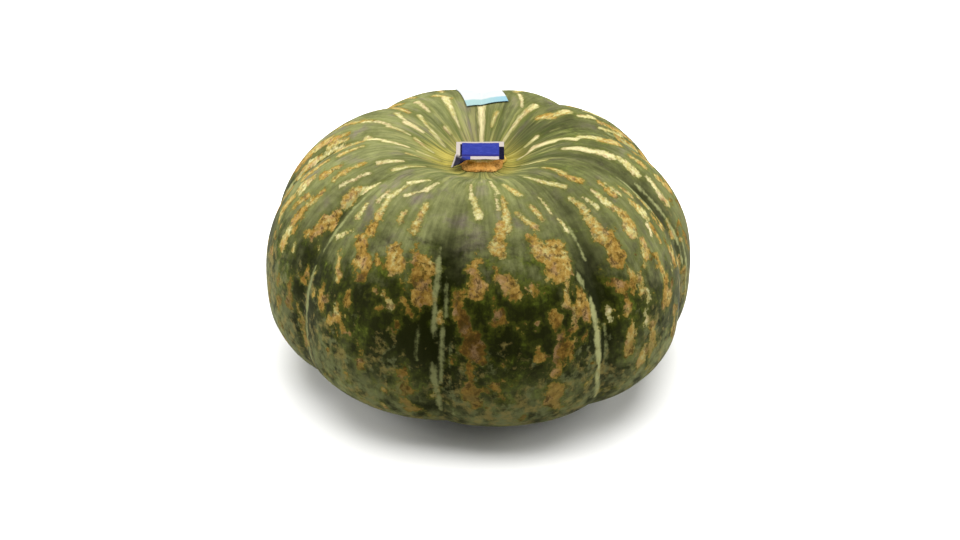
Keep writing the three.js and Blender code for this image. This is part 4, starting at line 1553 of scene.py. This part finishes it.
layer = add(far_tree, RANGE, unit.outputs["Z"], -0.5, 0.5, 0.0, FAR_THICKNESS)
lift = add(far_tree, MATH, layer, given.outputs["Lift"], operation="ADD")
on_shoulder = ask_skin(far_tree, given, azimuth, share, lift=lift, pucker_depth=0.0, pebble_depth=0.0)
sheet = add(far_tree, "ShaderNodeCombineXYZ", unit.outputs["X"], unit.outputs["Y"], 0.0)
kept = {"Name": "sheet", "Value": sheet}
mesh = add(far_tree, STORE, box.outputs["Mesh"], named=kept, **VECTORS)
mesh = add(far_tree, "GeometryNodeSetPosition", mesh, named={"Position": on_shoulder.outputs["Position"]})
end_tree(far_tree, given, mesh)

white_paper, white_tree = new_material("coated white paper")
far_label = grow("far_label", far_tree, outline=outline, groove_marks=groove_marks, material=white_paper)
far_label.data.transform(Matrix.Translation(AXIS.tolist()))
far_label.data.polygons.foreach_set("use_smooth", np.ones(len(far_label.data.polygons), dtype=bool))
print("far sticker:", len(far_label.data.polygons), "faces")

# %% [markdown]
# ## Paper for the far sticker
# This sticker is coated paper: white, with a pale band printed along its near edge that goes from mint to
# cyan. The band's edge wavers a little, and a faint fibre breaks the light. Both are read from the place
# on the sheet that the tree stored, which runs from -0.5 to 0.5 each way.

# %% Paper material
PAPER_WHITE = "#9EA1A1"
PAPER_CYAN = "#6A8A94"
PAPER_MINT = "#78908F"
MINT_TO_CYAN = (-0.1, 0.4)
# Where the band ends, soft over the step between the two, and how far its edge wavers.
BAND_ENDS = (-0.3, -0.26)
BAND_WAVER = 0.05
BAND_WAVES = 6.0
FIBRE_WAVES = 60.0
PAPER_GRAIN = 0.4
PAPER_RISE = 0.05 * MM
PAPER_ROUGH = 0.5
PAPER_SHINE = 0.06

sheet_spot = add(white_tree, ATTRIBUTE, attribute_name="sheet").outputs["Vector"]
parts = add(white_tree, "ShaderNodeSeparateXYZ", sheet_spot)
tint = add(white_tree, RANGE, parts.outputs["X"], *MINT_TO_CYAN)
band_colour = add(white_tree, MIX, tint, PAPER_MINT, PAPER_CYAN, **COLOURS)
band_noise = add(white_tree, NOISE, sheet_spot, named={"Scale": BAND_WAVES, "Detail": 4.0})
band_edge = add(white_tree, MATH, band_noise, BAND_WAVER, parts.outputs["Y"], operation="MULTIPLY_ADD")
banded = add(white_tree, RANGE, band_edge, *BAND_ENDS, 1.0, 0.0)
colour = add(white_tree, MIX, banded, PAPER_WHITE, band_colour, **COLOURS)
fibre = add(white_tree, NOISE, sheet_spot, named={"Scale": FIBRE_WAVES, "Detail": 3.0})
dress(white_tree, colour, PAPER_ROUGH, PAPER_SHINE, fibre, PAPER_GRAIN, PAPER_RISE)
print("paper:", len(white_tree.nodes), "nodes")

# %% [markdown]
# ## Floor and light
# The squash lies in soft studio light on a sweep of pale matt paper, which takes a soft shadow and shows
# no glare. It is wide enough to fill low views too. A large panel straight above lights the fruit's top,
# so the lower front stays dark and the shadow under it is short. Two weak panels give the left and right
# ribs their light rims, and a dim white surround fills the rest.

# %% Floor and lights
FLOOR_HALF = 2.2
FLOOR_Z = -0.1 * MM
FLOOR_PALE = "#E2E2E0"
FLOOR_ROUGH = 0.9
SURROUND = 0.05
# Each panel's place, its side's length and its power in watts.
PANELS = {
    "top": ((0.02, 0.2, 1.1), 1.6, 45.0),
    "left": ((-0.9, 0.1, 0.3), 0.6, 9.5),
    "right": ((0.9, 0.1, 0.3), 0.6, 9.5),
}

floor_mesh = bpy.data.meshes.new("floor")
corners = [(x * FLOOR_HALF, y * FLOOR_HALF, FLOOR_Z) for x, y in ((-1, -1), (1, -1), (1, 1), (-1, 1))]
floor_mesh.from_pydata(corners, [], [(0, 1, 2, 3)])
sweep, sweep_tree = new_material("matt paper sweep")
dress(sweep_tree, FLOOR_PALE, FLOOR_ROUGH)
floor = add_object("floor", floor_mesh, sweep)

world = bpy.data.worlds.new("studio")
bpy.context.scene.world = world
world.use_nodes = True
world.node_tree.nodes.clear()
surround = add(world.node_tree, "ShaderNodeBackground", (1.0, 1.0, 1.0, 1.0), SURROUND)
add(world.node_tree, "ShaderNodeOutputWorld", surround)

for name, (place, size, watts) in PANELS.items():
    light = bpy.data.lights.new(name, "AREA")
    light.shape = "SQUARE"
    light.size = size
    light.energy = watts
    lamp = bpy.data.objects.new(name, light)
    lamp.location = place
    lamp.rotation_euler = (Vector(place) - Vector(CAMERA_AIM)).to_track_quat("Z", "Y").to_euler()
    bpy.context.scene.collection.objects.link(lamp)
print("panels:", sorted(PANELS), "surround", SURROUND)

# %% [markdown]
# ## Hand over
# The curve and the marks that only fed the trees are removed. Each piece is tied to a root body and
# takes the place of its plain imported solid, which is hidden.

# %% Tie the pieces to the imported model
for helper in (outline, groove_marks):
    bpy.data.objects.remove(helper)
for piece, node, finish in (
    (fruit, "fruit", "rind"),
    (stem, "stem", "stem_cork"),
    (label, "stem_sticker", "blue_paper"),
    (far_label, "far_sticker", "pale_paper"),
):
    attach(piece, "root")
    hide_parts(node)
